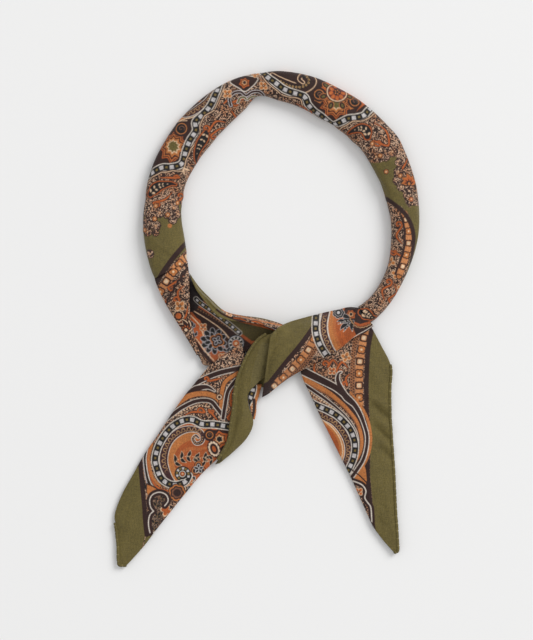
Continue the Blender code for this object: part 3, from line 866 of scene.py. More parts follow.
def layered(node, rows, ground, layers, droop, inset, trim_start, seed, creases=(), gap=0.9):
    """The hidden folded layers: one rounded solid, flat underneath, with its layers showing at the edges."""
    grid = stretch(node, rows, droop, (inset, inset), gap=gap)[trim_start:]
    grid = uneven(creased(grid, creases), 16, 0.12, seed)
    edge_a, edge_b = grid[:, 0], grid[:, -1]
    out_a = (edge_a - grid[:, 2])[:, :2]
    out_a /= np.linalg.norm(out_a, axis=1)[:, None]
    out_b = (edge_b - grid[:, -3])[:, :2]
    out_b /= np.linalg.norm(out_b, axis=1)[:, None]
    sides = ([], [])
    steps = layers * 5
    for k in range(1, steps + 1):
        share = k / steps
        bulge = 0.42 * math.sqrt(abs(math.sin(math.pi * layers * share))) * min(1, 3 * (1 - share) + 0.3)
        for side, (edge, out) in enumerate(((edge_a, out_a), (edge_b, out_b))):
            point = edge.copy()
            point[:, :2] += out * bulge
            point[:, 2] = edge[:, 2] * (1 - share)
            sides[side].append(point)
    top = np.concatenate([np.stack(sides[0][::-1], 1), grid, np.stack(sides[1], 1)], axis=1)
    count = top.shape[1]
    u = np.linspace(0, 1, count)[None, :, None]
    low = top[:, :1] * (1 - u) + top[:, -1:] * u
    reach = np.linspace(0, 1, count)[None, :]
    along = np.linspace(0, 1, len(top))[:, None]
    lap = 0.34 + 0.05 * np.sin(5 * along + seed)
    far = 0.71 + 0.04 * np.sin(4 * along + 2 * seed)
    for place, depth in ((lap, 0.5), (far, 0.38)):
        low[..., 2] += depth * np.exp(-(((reach - place) / 0.014) ** 2))
        low[..., 2] += 0.16 * np.clip(1 - (reach - place) / 0.09, 0, 1) * (reach > place)
    loops = np.concatenate([top, low[:, ::-1]], axis=1)
    painted = Print(units(loops[..., :2]), ground)
    return loops, painted, painted.points * UNIT


class Band:
    """The rolled band round the neck, and where a place on its upper face is once the band is unrolled."""

    def __init__(self, rows):
        self.rows = np.asarray(rows, float)
        section = np.asarray(SECTION)
        dense = np.linspace(0, len(section) - 1, 400)
        self.section = smooth_at(section, dense)

    def row(self, angles):
        """Inner radius, outer radius and height at these angles, along a smooth curve."""
        steps = np.interp(angles, self.rows[:, 0], np.arange(len(self.rows)))
        return smooth_at(self.rows[:, 1:], np.atleast_1d(steps))

    def profile(self, inner, outer, height):
        """The section's points as radius and height, and how far round it they are from its crest."""
        middle, half = (inner + outer) / 2, (outer - inner) / 2
        radius = middle + half * self.section[:, 0]
        up = height * self.section[:, 1]
        run = np.concatenate([[0], np.cumsum(np.hypot(np.diff(radius), np.diff(up)))])
        crest = np.argmax(self.section[:, 1])
        return radius, up, run[crest] - run, radius[crest]

    def surface(self, angles, gap):
        """The band's points, their places unrolled, and how far round and along they are."""
        shape = self.row(angles)
        longest = self.profile(*shape[np.argmax(shape[:, 1] - shape[:, 0])][:3])[2]
        count = int((longest[0] - longest[-1]) / gap)
        points, places, cloth = [], [], []
        for angle, (inner, outer, height, _) in zip(angles, shape):
            radius, up, run, crest = self.profile(inner, outer, height)
            even = np.linspace(run[0], run[-1], count)
            r = np.interp(-even, -run, radius)
            z = np.interp(-even, -run, up)
            turn = math.radians(angle)
            x, y = LOOP_X + r * math.cos(turn), LOOP_Y + r * math.sin(turn)
            points.append(np.stack([x, y, z], axis=1))
            flat = crest + even
            places.append(np.stack([LOOP_X + flat * math.cos(turn), LOOP_Y + flat * math.sin(turn)], axis=1))
            cloth.append(np.stack([np.full(count, turn * MEAN_RADIUS), even], axis=1))
        return np.stack(points), units(np.stack(places)), np.stack(cloth)

    def at(self, spots):
        """Places on the upper face, in frame units, as they are on the unrolled band."""
        plan = plan_of(spots)
        away = plan - (LOOP_X, LOOP_Y)
        distance = np.hypot(away[:, 0], away[:, 1])
        angle = np.degrees(np.arctan2(away[:, 1], away[:, 0]))
        angle = np.where(angle < SEAM, angle + 360, angle)
        shape = self.row(np.clip(angle, self.rows[0, 0], self.rows[-1, 0]))
        moved = []
        top = slice(*(int(len(self.section) * share) for share in TOP_FACE))
        for r, turn, (inner, outer, height, _) in zip(distance, np.radians(angle), shape):
            radius, _, run, crest = self.profile(inner, outer, height)
            radius, run = radius[top], run[top]
            flat = np.interp(r, radius[::-1], run[::-1])
            flat += (max(r - radius.max(), 0) + min(r - radius.min(), 0)) * PAST_EDGE
            flat += crest
            moved.append((LOOP_X + flat * math.cos(turn), LOOP_Y + flat * math.sin(turn)))
        return units(np.array(moved))


def cord_piece(name, line, colour, thread, seed):
    """A rolled hem: a thin round roll of cloth, drawn in a little at each stitch."""
    run = np.concatenate([[0], np.cumsum(np.linalg.norm(np.diff(line, axis=0), axis=1))])
    count = int(run[-1] / 0.32)
    even = np.linspace(0, run[-1], count)
    path = np.stack([np.interp(even, run, line[:, k]) for k in range(3)], axis=1)
    kernel = np.ones(5) / 5
    for k in range(3):
        wide = np.concatenate([np.full(2, path[0, k]), path[:, k], np.full(2, path[-1, k])])
        path[:, k] = np.convolve(wide, kernel, "valid")
    way = np.gradient(path, axis=0)
    way /= np.linalg.norm(way, axis=1)[:, None]
    side = np.cross(way, (0.0, 0.0, 1.0))
    side /= np.linalg.norm(side, axis=1)[:, None]
    up = np.cross(side, way)
    draw = np.random.default_rng(seed)
    phase = even + 0.35 * np.sin(even / 7 + seed) + draw.uniform(0, STITCH_PITCH)
    near = np.abs((phase / STITCH_PITCH) % 1 - 0.5) * 2
    stitch = np.clip((near - 0.78) / 0.22, 0, 1)
    ends = np.clip(np.minimum(even, run[-1] - even) / 0.6, 0, 1) ** 0.5
    size = HEM_RADIUS * (1.06 - 0.36 * stitch**1.5) * (0.35 + 0.65 * ends)
    turns = 16
    angles = np.linspace(0, TAU, turns, endpoint=False) + 0.2
    loops = path[:, None] + size[:, None, None] * (
        side[:, None] * np.cos(angles)[None, :, None] + up[:, None] * np.sin(angles)[None, :, None]
    )
    painted = Print(units(loops[..., :2]), colour)
    sewn = np.repeat(stitch > 0.45, turns)
    painted.colour[sewn] = thread
    cloth = np.stack([np.repeat(even, turns), np.tile(angles * 0.8, count)], axis=1)
    return swept(name, loops, painted, hem_silk, cloth)


def hem_line(grid, side, start_y=1e9, tip=False):
    """The middle of the hem beside an edge of a stretch, and round its tip."""

    def beside(edge, inside):
        run = np.gradient(edge[:, :2], axis=0)
        away = np.stack([run[:, 1], -run[:, 0]], axis=1)
        away *= np.sign(((edge - inside)[:, :2] * away).sum(axis=1))[:, None]
        away /= np.linalg.norm(away, axis=1)[:, None]
        moved = edge.copy()
        moved[:, :2] += away * HEM_OUT
        moved[:, 2] -= HEM_DOWN
        return moved

    edge, inner = (grid[:, 0], grid[:, 2]) if side == 0 else (grid[:, -1], grid[:, -3])
    path = beside(edge, inner)[edge[:, 1] < start_y][::3]
    if not tip:
        return path
    last = beside(grid[-1], grid[-3])
    last = last if side == 0 else last[::-1]
    corner = grid[-1, side] - (0.0, 0.0, HEM_DOWN)
    turn = corner + 0.7 * (path[-1] + last[0] - 2 * corner)
    return np.concatenate([path[:-1], turn[None], last[2::3]])


# Edge profiles: an edge that runs into its hem, and an end that goes down under another stretch
SEWN = [(0.5, 0.2), (0.95, 0.55)]
ALONG = [(0.4, 0.25), (0.7, 0.7), (0.6, 1.1)]

# ---------------------------------------------------------------- motifs of several parts

DARK_RIM = (41, 19, 14)
PALE = (208, 184, 158)


def leaf(p, x, y, size, width, turn, colour, rim=None, extra=0.8):
    """A pointed leaf, from its foot at x, y."""
    way = np.array([math.cos(math.radians(turn)), math.sin(math.radians(turn))])
    side = np.array([-way[1], way[0]])
    steps = np.linspace(0, 1, 7)[:, None]
    line = np.array([x, y]) + way * size * steps + side * 0.12 * size * np.sin(math.pi * steps)
    shape = [0.3, 0.75, 1.0, 0.95, 0.7, 0.35, 0.0]
    if rim is not None:
        p.stroke(line, [width * share + 2 * extra for share in shape], rim)
    p.stroke(line, [width * share for share in shape], colour)


def spray(p, stem, count, size, colour, rim):
    """Dark pointed leaves with pale edges on both sides of a stem."""
    line = curve(stem)
    p.stroke(line, 1.1, rim)
    for share in np.linspace(0.0, 0.97, count):
        x, y = line[int(share * (len(line) - 1))]
        ahead = line[min(int(share * (len(line) - 1)) + 2,
            len(line) - 1)] - line[int(share * (len(line) - 1))]
        turn = math.degrees(math.atan2(ahead[1], ahead[0])) if np.any(ahead) else 0
        long = size * (1.05 - 0.45 * share)
        for side in (48, -48):
            leaf(p, x, y, long, long * 0.46, turn + side, colour, rim, 0.75)
    end = line[-1]
    turn = math.degrees(math.atan2(*(line[-1] - line[-4])[::-1]))
    leaf(p, end[0], end[1], size * 0.7, size * 0.34, turn, colour, rim, 0.75)


def bold_spray(p, stem, count, size, rim=(196, 168, 140)):
    """Broad dark leaves with a thin pale edge, on both sides of a stem and at its end."""
    line = curve(stem)
    for share in np.linspace(0.0, 0.9, count):
        k = int(share * (len(line) - 1))
        ahead = line[min(k + 2, len(line) - 1)] - line[k]
        turn = math.degrees(math.atan2(ahead[1], ahead[0]))
        for side in (62, -62):
            leaf(p, *line[k], size * (1.1 - 0.3 * share), size * 0.46, turn + side, BLACK, rim, 0.5)
    leaf(p, *line[-2], size * 0.9, size * 0.44, turn, BLACK, rim, 0.5)
    beads(p, stem, 2.6, 0.45, rim)


def palmette(p, x, y, size, turn, body=TAN, rim=CREAM, heart=CHOCOLATE):
    """A fan of petals with a dark heart."""
    fan, spread = 5, 150
    for colour, extra in ((DARK_RIM, 1.9), (rim, 1.0), (body, 0.0)):
        for k in range(fan):
            angle = turn + spread * (k / (fan - 1) - 0.5)
            long = size * (1.0 - 0.28 * abs(2 * k / (fan - 1) - 1))
            leaf(p, x, y, long + extra, long * 0.42 + 2 * extra, angle, colour)
    for k in range(fan):
        angle = turn + spread * (k / (fan - 1) - 0.5)
        leaf(p, x, y, size * 0.55, size * 0.14, angle, heart)
    p.blob(x, y, size * 0.26, size * 0.26, 0, DARK_RIM)
    p.blob(x, y, size * 0.15, size * 0.15, 0, rim)


def petal_flower(p, x, y, size, body=ORANGE, rim=CREAM, start=45):
    """A small flower head of four petals."""
    p.petals(x, y, size * 0.55, 4, size * 0.5 + 0.9, size * 0.36 + 0.9, DARK_RIM, start=start)
    p.petals(x, y, size * 0.55, 4, size * 0.5, size * 0.36, body, rim, start)
    p.blob(x, y, size * 0.3, size * 0.3, 0, CHOCOLATE)
    p.blob(x, y, size * 0.13, size * 0.13, 0, rim)


def scalloped(p, points, bump, pitch, width=1.0, colour=CREAM, shade=CHOCOLATE, under=0.8):
    """A line of small arcs along a path, bulging to its left (bump above 0) or right."""
    line = curve(points, per=20)
    run = np.concatenate([[0], np.cumsum(np.hypot(*np.diff(line, axis=0).T))])
    even = np.linspace(0, run[-1], int(run[-1] / 0.8))
    path = np.stack([np.interp(even, run, line[:, k]) for k in (0, 1)], axis=1)
    way = np.gradient(path, axis=0)
    way /= np.linalg.norm(way, axis=1)[:, None]
    side = np.stack([way[:, 1], -way[:, 0]], axis=1)
    arcs = np.abs(np.sin(math.pi * even / pitch))
    wavy = path + side * (bump * arcs)[:, None]
    p.stroke(wavy, width + 2 * under, shade)
    p.stroke(wavy, width, colour)


def beads(p, points, pitch=3.2, size=0.85, colour=CREAM):
    """A row of dots along a line."""
    line = curve(points)
    index, along, off, _ = p.field(line, 3)
    dot = np.hypot(((along / pitch) % 1 - 0.5) * pitch, off) - size
    p.lay(index, edge_of(dot), colour)


def flame(p, x, y, size, turn, tips=3, heart=BLACK, stretch=1.0):
    """A flame-edged leaf form with thin inner lines and a dark heart; its tip points at turn degrees."""
    angles = np.linspace(-math.pi, math.pi, 97)[:-1]
    wide = 0.7 + 0.3 * np.cos(angles / 2) ** 2
    edge = 1 - 0.26 * np.abs(np.sin(tips * angles))
    turned = math.radians(turn)
    u = size * wide * edge * np.cos(angles) * stretch
    v = size * wide * edge * np.sin(angles)
    shape = np.stack([u * math.cos(turned) - v * math.sin(turned),
        u * math.sin(turned) + v * math.cos(turned)], axis=1)
    middle = np.array([x, y])
    p.area(middle + shape, CHOCOLATE, grow=1.8)
    p.area(middle + shape, ORANGE)
    p.area(middle + shape * 0.72, CHOCOLATE)
    p.area(middle + shape * 0.62, TAN)
    p.area(middle + shape * 0.44, CREAM)
    p.area(middle + shape * 0.34, heart)


def contoured(p, x, y, size, turn, tips, stretch=0.82):
    """A flame-edged form with more contour lines."""
    flame(p, x, y, size, turn, tips, OLIVE, stretch)
    way = math.radians(turn)
    for share, colour, width in ((0.86, DARK_RIM, 0.8), (0.8, TAN, 0.7)):
        angles = np.linspace(0, TAU, 61)
        edge = share * size * (0.7 + 0.3 * np.cos(angles / 2) ** 2) * (1 - 0.26
            * np.abs(np.sin(tips * angles)))
        u, v = stretch * edge * np.cos(angles), edge * np.sin(angles)
        ring = np.stack([x + u * math.cos(way) - v * math.sin(way),
            y + u * math.sin(way) + v * math.cos(way)], axis=1)
        p.stroke(ring, width, colour)


def eye(p, x, y, radius):
    """A dark curl with a pale line in it."""
    p.blob(x, y, radius + 2.6, radius + 2.6, 0, CHOCOLATE)
    p.blob(x, y, radius + 0.5, radius + 0.5, 0, TAN)
    p.blob(x, y, radius - 0.5, radius - 0.5, 0, BLACK)
    p.stroke(spiral(x, y, radius * 0.62, 30, 1.2), 0.9, UMBER, (0.7, 0.6))


# ---------------------------------------------------------------- the print of each stretch


def paint_ring(p):
    # the olive border that shows on the left and on the right
    p.area([(120, 214), (143, 214), (152, 222), (166, 214), (180, 204), (190, 204), (194, 228), (198, 246),
        (184, 252), (168, 268), (156, 284), (120, 300)], OLIVE)
    p.area([(366, 160), (380, 163), (386, 160), (394, 156), (399, 160), (398, 168), (394, 174), (393, 181),
        (397, 187), (401, 190), (404, 196), (405, 203), (409, 208), (415, 206), (424, 206), (430, 214),
        (430, 240), (414, 230), (408, 214), (400, 206), (388, 201), (383, 190), (374, 176)], OLIVE)
    p.area([(410, 206), (440, 206), (440, 330), (400, 330), (402, 285), (409, 262), (413, 244), (413, 226)],
        OLIVE)

    # left: the border of the big paisley
    squares = [(222, 82), (217.5, 90), (211, 105), (203, 115), (195.6, 122), (196, 131), (190, 141),
        (186, 151), (182, 164), (171, 167.6), (163, 167.6), (156, 170.6), (149, 175), (138, 181)]
    p.area(squares + [(120, 176), (130, 140), (150, 110), (175, 85), (205, 66), (222, 72)], CHOCOLATE)
    p.area([(186, 120), (176, 122), (166, 134), (156, 148), (140, 160), (126, 164), (126, 150), (150, 118),
        (172, 104)], TAN)
    p.squiggle([(216, 88), (208, 101), (199, 108), (190, 113), (176, 116), (160, 122)], 7.0)
    p.stroke([(219, 86), (213, 99), (205, 110), (194, 117), (182, 120), (170, 127), (160, 138)], 1.4, CREAM)
    contoured(p, 173, 146, 19.0, 62, 5, stretch=1.12)
    eye(p, 181.4, 129, 5.4)
    eye(p, 151, 155, 4.6)
    p.stroke([(146, 160), (150, 148), (158, 138), (168, 130), (178, 122), (187, 121)], 1.0, CREAM)
    p.stroke([(146, 165), (160, 166.4), (170, 164.6), (178.6, 160), (184.6, 150), (189.6, 139), (191, 127)],
        2.2, CHOCOLATE)
    spray(p, [(196, 100), (206, 92), (216, 82)], 3, 5, TAN, UMBER)
    spray(p, [(176, 110), (190, 98), (204, 84)], 4, 6, (150, 100, 60), (90, 60, 46))
    p.squares(squares, 4.2)
    scalloped(p, [(225, 86), (219, 97), (214.4, 110.6)], 1.2, 26)
    scalloped(p, [(214.4, 110.6), (205.5, 115.6), (200.4, 124), (199.6, 134), (194.6, 143.6), (189.6, 152),
        (185.4, 163), (183.4, 172)], 0.5, 12)
    scalloped(p, [(183.4, 172), (178, 170.6), (164, 172), (156, 174.6), (149, 179.6), (138, 187)], 0.8, 11)
    leaf(p, 184, 168, 8, 2.6, 80, CREAM)
    leaf(p, 184, 168, 7, 2.2, 20, CREAM)

    # left: the filler below it, with two small botehs, scrolls and flower heads
    p.boteh([(206.5, 133.5), (204, 139), (200.5, 145), (198, 151), (196.5, 158), (197, 163)], 7.5)
    p.boteh([(150.5, 194), (154, 190), (159, 186.5), (165, 185), (171, 184), (176, 185)], 8.5)
    p.scrolls(
        [
            spiral(206, 129, 4, 40, 1.1, [(216, 122), (226, 123)]),
            spiral(214, 137, 3, 220, 1.1, [(219, 130), (228, 128)]),
            [(232, 112), (236, 117), (234, 123)],
            spiral(180, 196, 4, 90, 1.1, [(188, 190), (191, 180)]),
            spiral(158, 204, 4, 200, 1.1, [(165, 200), (172, 193)]),
            spiral(176, 178, 3, 0, 1.0, [(168, 178), (160, 178)]),
        ]
    )
    p.clumps([(160, 213, 0.7), (152, 218, 0.8), (174, 208, 0.8), (168, 214, 0.7), (178, 214, 0.6),
        (146, 224, 0.8), (156, 226, 0.7), (173, 220, 0.6), (148, 232, 0.6), (156, 233, 0.45),
        (150, 254, 0.6), (182, 202, 0.6), (140, 216, 0.9)])
    p.stars([(156, 206), (168, 215), (178, 203), (155, 219), (145, 230)])
    p.blob(170, 226, 2.2, 2.2, 0, TAN)

    # left: brown line and chain at the edge of the next border
    corner = [(198, 244), (190, 244), (178, 258), (166, 276), (158, 290), (150, 310), (150, 360),
        (230, 360), (230, 280)]
    p.area(corner, GROUND, 1.0)
    p.chain([(196, 248), (183.7, 259.8), (168.2, 278.7), (158, 300)], 9, 12.2, 9)
    p.stroke([(198, 226), (186, 243), (172, 260), (159, 279), (148, 300)], 5.0, CHOCOLATE)
    scalloped(p, [(201, 252), (190, 264), (176, 284), (165, 304)], 1.5, 7.0, 1.0, CHOCOLATE, CHOCOLATE, 0.6)
    p.scrolls(
        [
            spiral(184, 284, 4, 30, 1.1, [(188, 276), (197, 270)]),
            spiral(180, 304, 4, 200, 1.1, [(186, 298), (196, 298)]),
            spiral(174, 318, 3, 90, 1.1, [(180, 322), (190, 320)]),
        ]
    )

    # the top: palmette, flowers and the grey double outline between the two crowns
    p.scrolls([spiral(236, 103, 4, 180, 1.1, [(244, 99), (254, 101)]), [(224, 104), (230, 98), (232, 90)]],
        2.0)
    loops = [(231, 106), (229.6, 99), (234, 93.4), (241, 92.4), (246, 96), (252, 92.4), (259, 92),
        (264, 96), (266, 102)]
    p.stroke(loops, 4.6, DARK_RIM)
    p.stroke(loops, 3.4, GREY)
    p.stroke(loops, 1.8, CHOCOLATE)
    p.rimmed([(238, 103), (240, 98.6), (244, 97.6), (246.6, 100)], 1.6, OLIVE, GREY, 0.7)
    p.rimmed([(248, 99.6), (252, 97), (258, 97), (260, 101)], 1.6, OLIVE, GREY, 0.7)
    diamond = curve([(231, 82), (236, 78.4), (244, 76), (252, 77.6), (257, 79), (254, 84), (250, 87.6),
        (245, 91), (240, 88)], closed=True)
    p.area(diamond, WHITE, grow=1.5)
    p.area(diamond, CHOCOLATE, grow=0.4)
    flame(p, 244.6, 82.6, 6.6, 100, heart=CHOCOLATE)
    petal_flower(p, 227.5, 94, 4.4, TAN)
    petal_flower(p, 263.5, 86, 4.4, TAN)
    petal_flower(p, 229, 79, 3.8, TAN, start=0)
    petal_flower(p, 255, 74, 3.6, TAN, start=0)

    # right: the border of the other big paisley
    squares = [(262, 71), (267, 77), (274, 82), (283, 89), (290.5, 92.4), (300, 95.4), (305, 98),
        (308, 105), (314, 111.4), (321, 116), (327.5, 121), (334, 125), (341, 122.4), (348, 119),
        (356, 118), (364, 115.5), (369, 110), (380, 100)]
    p.area(squares + [(372, 84), (340, 66), (300, 55), (262, 56)], CHOCOLATE)
    p.area([(318, 68), (330, 76), (324, 86), (312, 94), (322, 104), (336, 116), (356, 112), (372, 100),
        (372, 84), (340, 60)], ORANGE)
    p.area([(276, 68), (300, 64), (330, 66), (322, 74), (316, 72), (300, 69), (286, 71)], TAN)
    p.rimmed([(272, 74), (280, 82), (292, 88), (304, 88.5), (312, 83), (310, 76), (303, 75), (299.5, 79.5),
        (303, 83)], [2.0, 8.0, 10.0, 9.6, 8.4, 7.0, 5.0, 3.4, 2.0], CHOCOLATE, CREAM, 1.0)
    p.stroke([(280, 82), (292, 87), (303, 87), (309, 82), (307.6, 77.6), (303.6, 77.6)], 3.4, BLACK)
    beads(p, [(279, 81), (290, 86.6), (302, 87.4), (309, 82.4), (307, 77.6)], 3.4, 1.2, (176, 138, 88))
    beads(p, [(279, 81), (290, 86.6), (302, 87.4), (309, 82.4), (307, 77.6)], 3.4, 0.5, CHOCOLATE)
    # the rosette in its pale ring, the petals below it and the flame form round them
    p.area([(313, 97), (320, 92), (327, 100), (346, 100), (354, 94), (362, 104), (356, 112), (336, 121),
        (318, 109)], CHOCOLATE)
    contoured(p, 336, 104, 19.5, 90, 5)
    p.area([(318, 96), (324, 100), (320, 104), (314, 101)], TAN)
    p.area([(348, 104), (356, 103), (360, 107), (350, 110)], TAN)
    eye(p, 319, 95, 4.6)
    eye(p, 354.6, 101.6, 4.6)
    p.petals(336.4, 94, 13.4, 7, 3.6, 2.5, CHOCOLATE, TAN, start=90 - 3 * 360 / 14)
    p.petals(336.4, 94, 13.4, 7, 2.0, 1.2, OLIVE, start=90 - 3 * 360 / 14)
    p.blob(337, 92.4, 11.4, 10.8, 0, DARK_RIM)
    p.blob(337, 92.4, 10.6, 10.0, 0, CREAM)
    p.blob(337, 92.4, 9.4, 8.8, 0, (84, 40, 34))
    p.petals(337, 92.4, 6.2, 9, 2.5, 1.9, ORANGE, start=10)
    p.petals(337, 92.4, 6.4, 9, 0.8, 0.6, TAN, start=10)
    p.blob(337, 92.4, 3.6, 3.6, 0, CHOCOLATE)
    p.petals(337, 92.4, 2.0, 5, 0.9, 0.7, TAN, start=0)
    petal_flower(p, 326, 79, 4.4, CHOCOLATE, TAN)
    spray(p, [(352, 80), (362, 88), (372, 98)], 3, 6, CHOCOLATE, TAN)
    p.squares(squares, 4.2)
    scalloped(p, [(262, 76), (268, 83), (281.6, 95)], -0.6, 22)
    scalloped(p, [(281.6, 95), (291, 97.4), (300.6, 99.6), (303, 107), (309, 114), (319, 119.4)], -0.5, 14)
    scalloped(p, [(319, 119.4), (328, 126), (337, 130), (344, 126.6), (353, 121.6), (364, 120.6),
        (372, 115), (384, 106)], -0.5, 13)

    # right: the filler beyond it
    p.boteh([(367, 137), (366, 131.5), (362, 129), (357, 129.5), (352, 131.5), (348, 134)], 8.2)
    p.scrolls(
        [
            spiral(378, 143, 4.5, 200, 1.2, [(388, 146), (386, 132), (374, 123)]),
            spiral(397, 172, 3.5, 90, 1.1, [(404, 166), (408, 158)]),
            spiral(310, 112, 3, 200, 1.0, [(304, 108), (296, 104)]),
            spiral(398, 225, 4, 20, 1.1, [(396, 236), (402, 244)]),
            spiral(394, 252, 4, 200, 1.1, [(402, 258), (398, 268)]),
            spiral(388, 282, 4, 60, 1.1, [(382, 290), (384, 300)]),
            spiral(392, 300, 3.5, 200, 1.1, [(396, 292), (394, 284)]),
        ]
    )
    p.clumps([(376, 157, 0.7), (385, 157, 0.65), (392, 152, 0.7), (399, 163, 0.6), (398, 172, 0.6),
        (397, 181, 0.6), (401, 187, 0.6), (409, 188, 0.7), (406, 196, 0.4)])
    palmette(p, 409, 184, 10, 255, body=ORANGE, rim=TAN)
    p.blob(411, 199.5, 6.6, 6.6, 0, DARK_RIM)
    p.blob(411, 199.5, 6.0, 6.0, 0, GROUND, 1.0, lobes=9, depth=0.16)
    p.blob(411, 199.5, 2.4, 2.4, 0, ORANGE, lobes=6, depth=0.3)
    p.blob(411, 199.5, 0.9, 0.9, 0, CREAM)
    p.stars([(380, 156), (400, 176), (386, 172), (372, 144)], 2.4)
    for x, y in ((396, 274), (390, 262), (401, 288)):
        petal_flower(p, x, y, 4.6, TAN, start=20)
    p.chain([(404, 214), (408, 228), (408, 246), (404, 262), (399, 276)], 6.5, 12, 0, 0.8)
    p.stroke([(386, 199), (397, 207), (406, 216), (412, 229), (413.5, 244), (411, 262), (406, 280),
        (398, 298)], 4.2, CHOCOLATE)
    p.stroke([(401, 216), (404, 230), (404, 246), (400, 260), (395, 274)], 2.0, CHOCOLATE)
    p.boteh([(361.5, 312.4), (364.6, 313.6), (368.4, 315.6), (372, 317.6), (376, 317)], 8.8)


def paint_front(p):
    p.scrolls(
        [
            spiral(176, 300, 4, 30, 1.1, [(178, 292), (184, 286)]),
            spiral(172, 288, 3.5, 200, 1.1, [(176, 282), (184, 276)]),
            spiral(180, 322, 4, 100, 1.1, [(186, 316), (188, 306)]),
            spiral(170, 316, 3.5, 250, 1.1, [(166, 306), (166, 298)]),
        ]
    )
    p.chain([(182, 262), (168.7, 278), (158, 296), (150, 314)], 8, 12, 5)
    p.stroke([(176, 254), (165, 270), (157, 281), (148, 300)], 5, CHOCOLATE)
    scalloped(p, [(190, 264), (176, 284), (165, 304), (158, 322)], 1.5, 7.0, 1.0, CHOCOLATE, CHOCOLATE, 0.6)
    petal_flower(p, 180, 306, 5, TAN)
    p.rosette(178.5, 316, 6, [(1.0, CREAM), (0.82, CHOCOLATE), (0.5, ORANGE)], lobes=9)
    palmette(p, 186, 330, 11, 250, body=CHOCOLATE, rim=CREAM, heart=ORANGE)
    p.stroke([(181, 336), (186, 342), (190, 352)], 1.4, CREAM)


def paint_pocket(p):
    rust_ground, dim = (146, 72, 34), (150, 146, 148)
    p.area([(150, 290), (180, 280), (196, 296), (216, 308), (240, 326), (262, 352), (238, 372), (170, 372)],
        rust_ground)
    p.area([(160, 262), (190, 276), (214, 296), (250, 318), (290, 330), (290, 240), (160, 240)],
        (70, 48, 40), 0.7)
    # the olive of the collar's inner wall, darkened as painted shade
    p.area([(226, 318), (240, 322), (276, 331), (262, 340), (252, 341), (238, 331)], (70, 60, 28))
    p.area([(183, 300), (196, 306), (214, 317), (236, 333), (252, 345), (262, 356), (240, 360), (206, 330)],
        CHOCOLATE)
    p.stroke([(182, 305), (192, 310), (210, 321), (222, 330), (232, 342)], 1.2, CREAM)
    beads(p, [(184, 301), (194, 307), (212, 317), (232, 330)], 3.0, 0.8, (120, 90, 60))
    # painted shadow: near black where the pocket goes deep under the front fold
    p.area([(184, 270), (197, 282), (207, 294), (205, 300), (199, 306), (193, 312), (187, 312)],
        (30, 20, 20))
    rail = [(196, 299), (201, 303.6), (214.4, 313), (230, 325), (239.6, 333)]
    p.stroke(rail, 5.4, WHITE)
    p.squares(rail, 2.2, 7.4, False)
    p.area([(186, 312), (200, 320), (206, 334), (196, 350), (180, 340)], (172, 84, 38))
    p.stroke([(184, 310), (192, 317), (200, 326), (204, 338)], 1.3, CREAM)
    spray(p, [(190, 352), (194, 340), (192, 326)], 4, 6.5, BLACK, dim)
    spray(p, [(206, 360), (204, 350), (208, 338)], 4, 6, BLACK, dim)
    spray(p, [(226, 360), (226, 350), (222, 342)], 3, 6, BLACK, dim)
    p.petals(213.5, 341, 9.4, 10, 3.6, 2.2, BLACK, dim, start=12)
    p.petals(213.5, 341, 6.0, 8, 2.6, 1.6, BLACK, dim, start=30)
    p.blob(217, 340.6, 7.6, 7.6, 25, TAN, lobes=4, depth=0.34)
    p.blob(217, 340.6, 6.5, 6.5, 25, CHOCOLATE, lobes=4, depth=0.34)
    p.petals(217, 340.6, 2.4, 4, 1.7, 1.0, BLACK, dim, start=25)
    p.rosette(236, 343.4, 8.6, [(1.0, BLACK), (0.9, dim), (0.78, BLACK), (0.5, dim), (0.4, ORANGE), (0.18,
        CREAM)], lobes=0)
    p.petals(236, 343.4, 5.6, 10, 1.2, 0.8, WHITE)
    petal_flower(p, 203, 327, 3.6, ORANGE)
    petal_flower(p, 222, 357, 3.6, ORANGE)
    # the dark print at the corner where the fold goes under the left tail
    p.area([(188, 336), (196, 341), (203, 352), (212, 362), (222, 368), (200, 380), (180, 356)], GROUND, 0.8)
    p.stroke([(187, 336), (195, 342), (202, 352), (212, 363)], 3.6, CHOCOLATE)
    p.stroke([(189, 334), (197, 340), (204, 350), (214, 361)], 1.0, CREAM)
    p.stroke([(196, 350), (201, 356), (207, 366)], 1.0, (150, 120, 92))


def paint_collar(p):
    p.area([(221, 308), (224, 308.6), (240, 314.5), (256, 318), (276, 322), (296, 326), (296, 340),
        (272, 330), (254, 325.6), (240, 321.6), (226, 316.6)], GROUND, 1.0)
    petal_flower(p, 229, 313.6, 3.2, TAN)
    p.stroke([(217, 309.6), (225, 315.4), (240, 321), (256, 325), (276, 329)], 1.8, CHOCOLATE)
    p.stroke([(222, 309.6), (238, 315.4), (254, 319.4), (272, 323.4), (290, 327)], 1.5, TAN)
    p.scrolls([[(234, 318), (240, 318.4), (246, 321)], [(252, 321), (258, 322), (264, 325)]], 1.6)


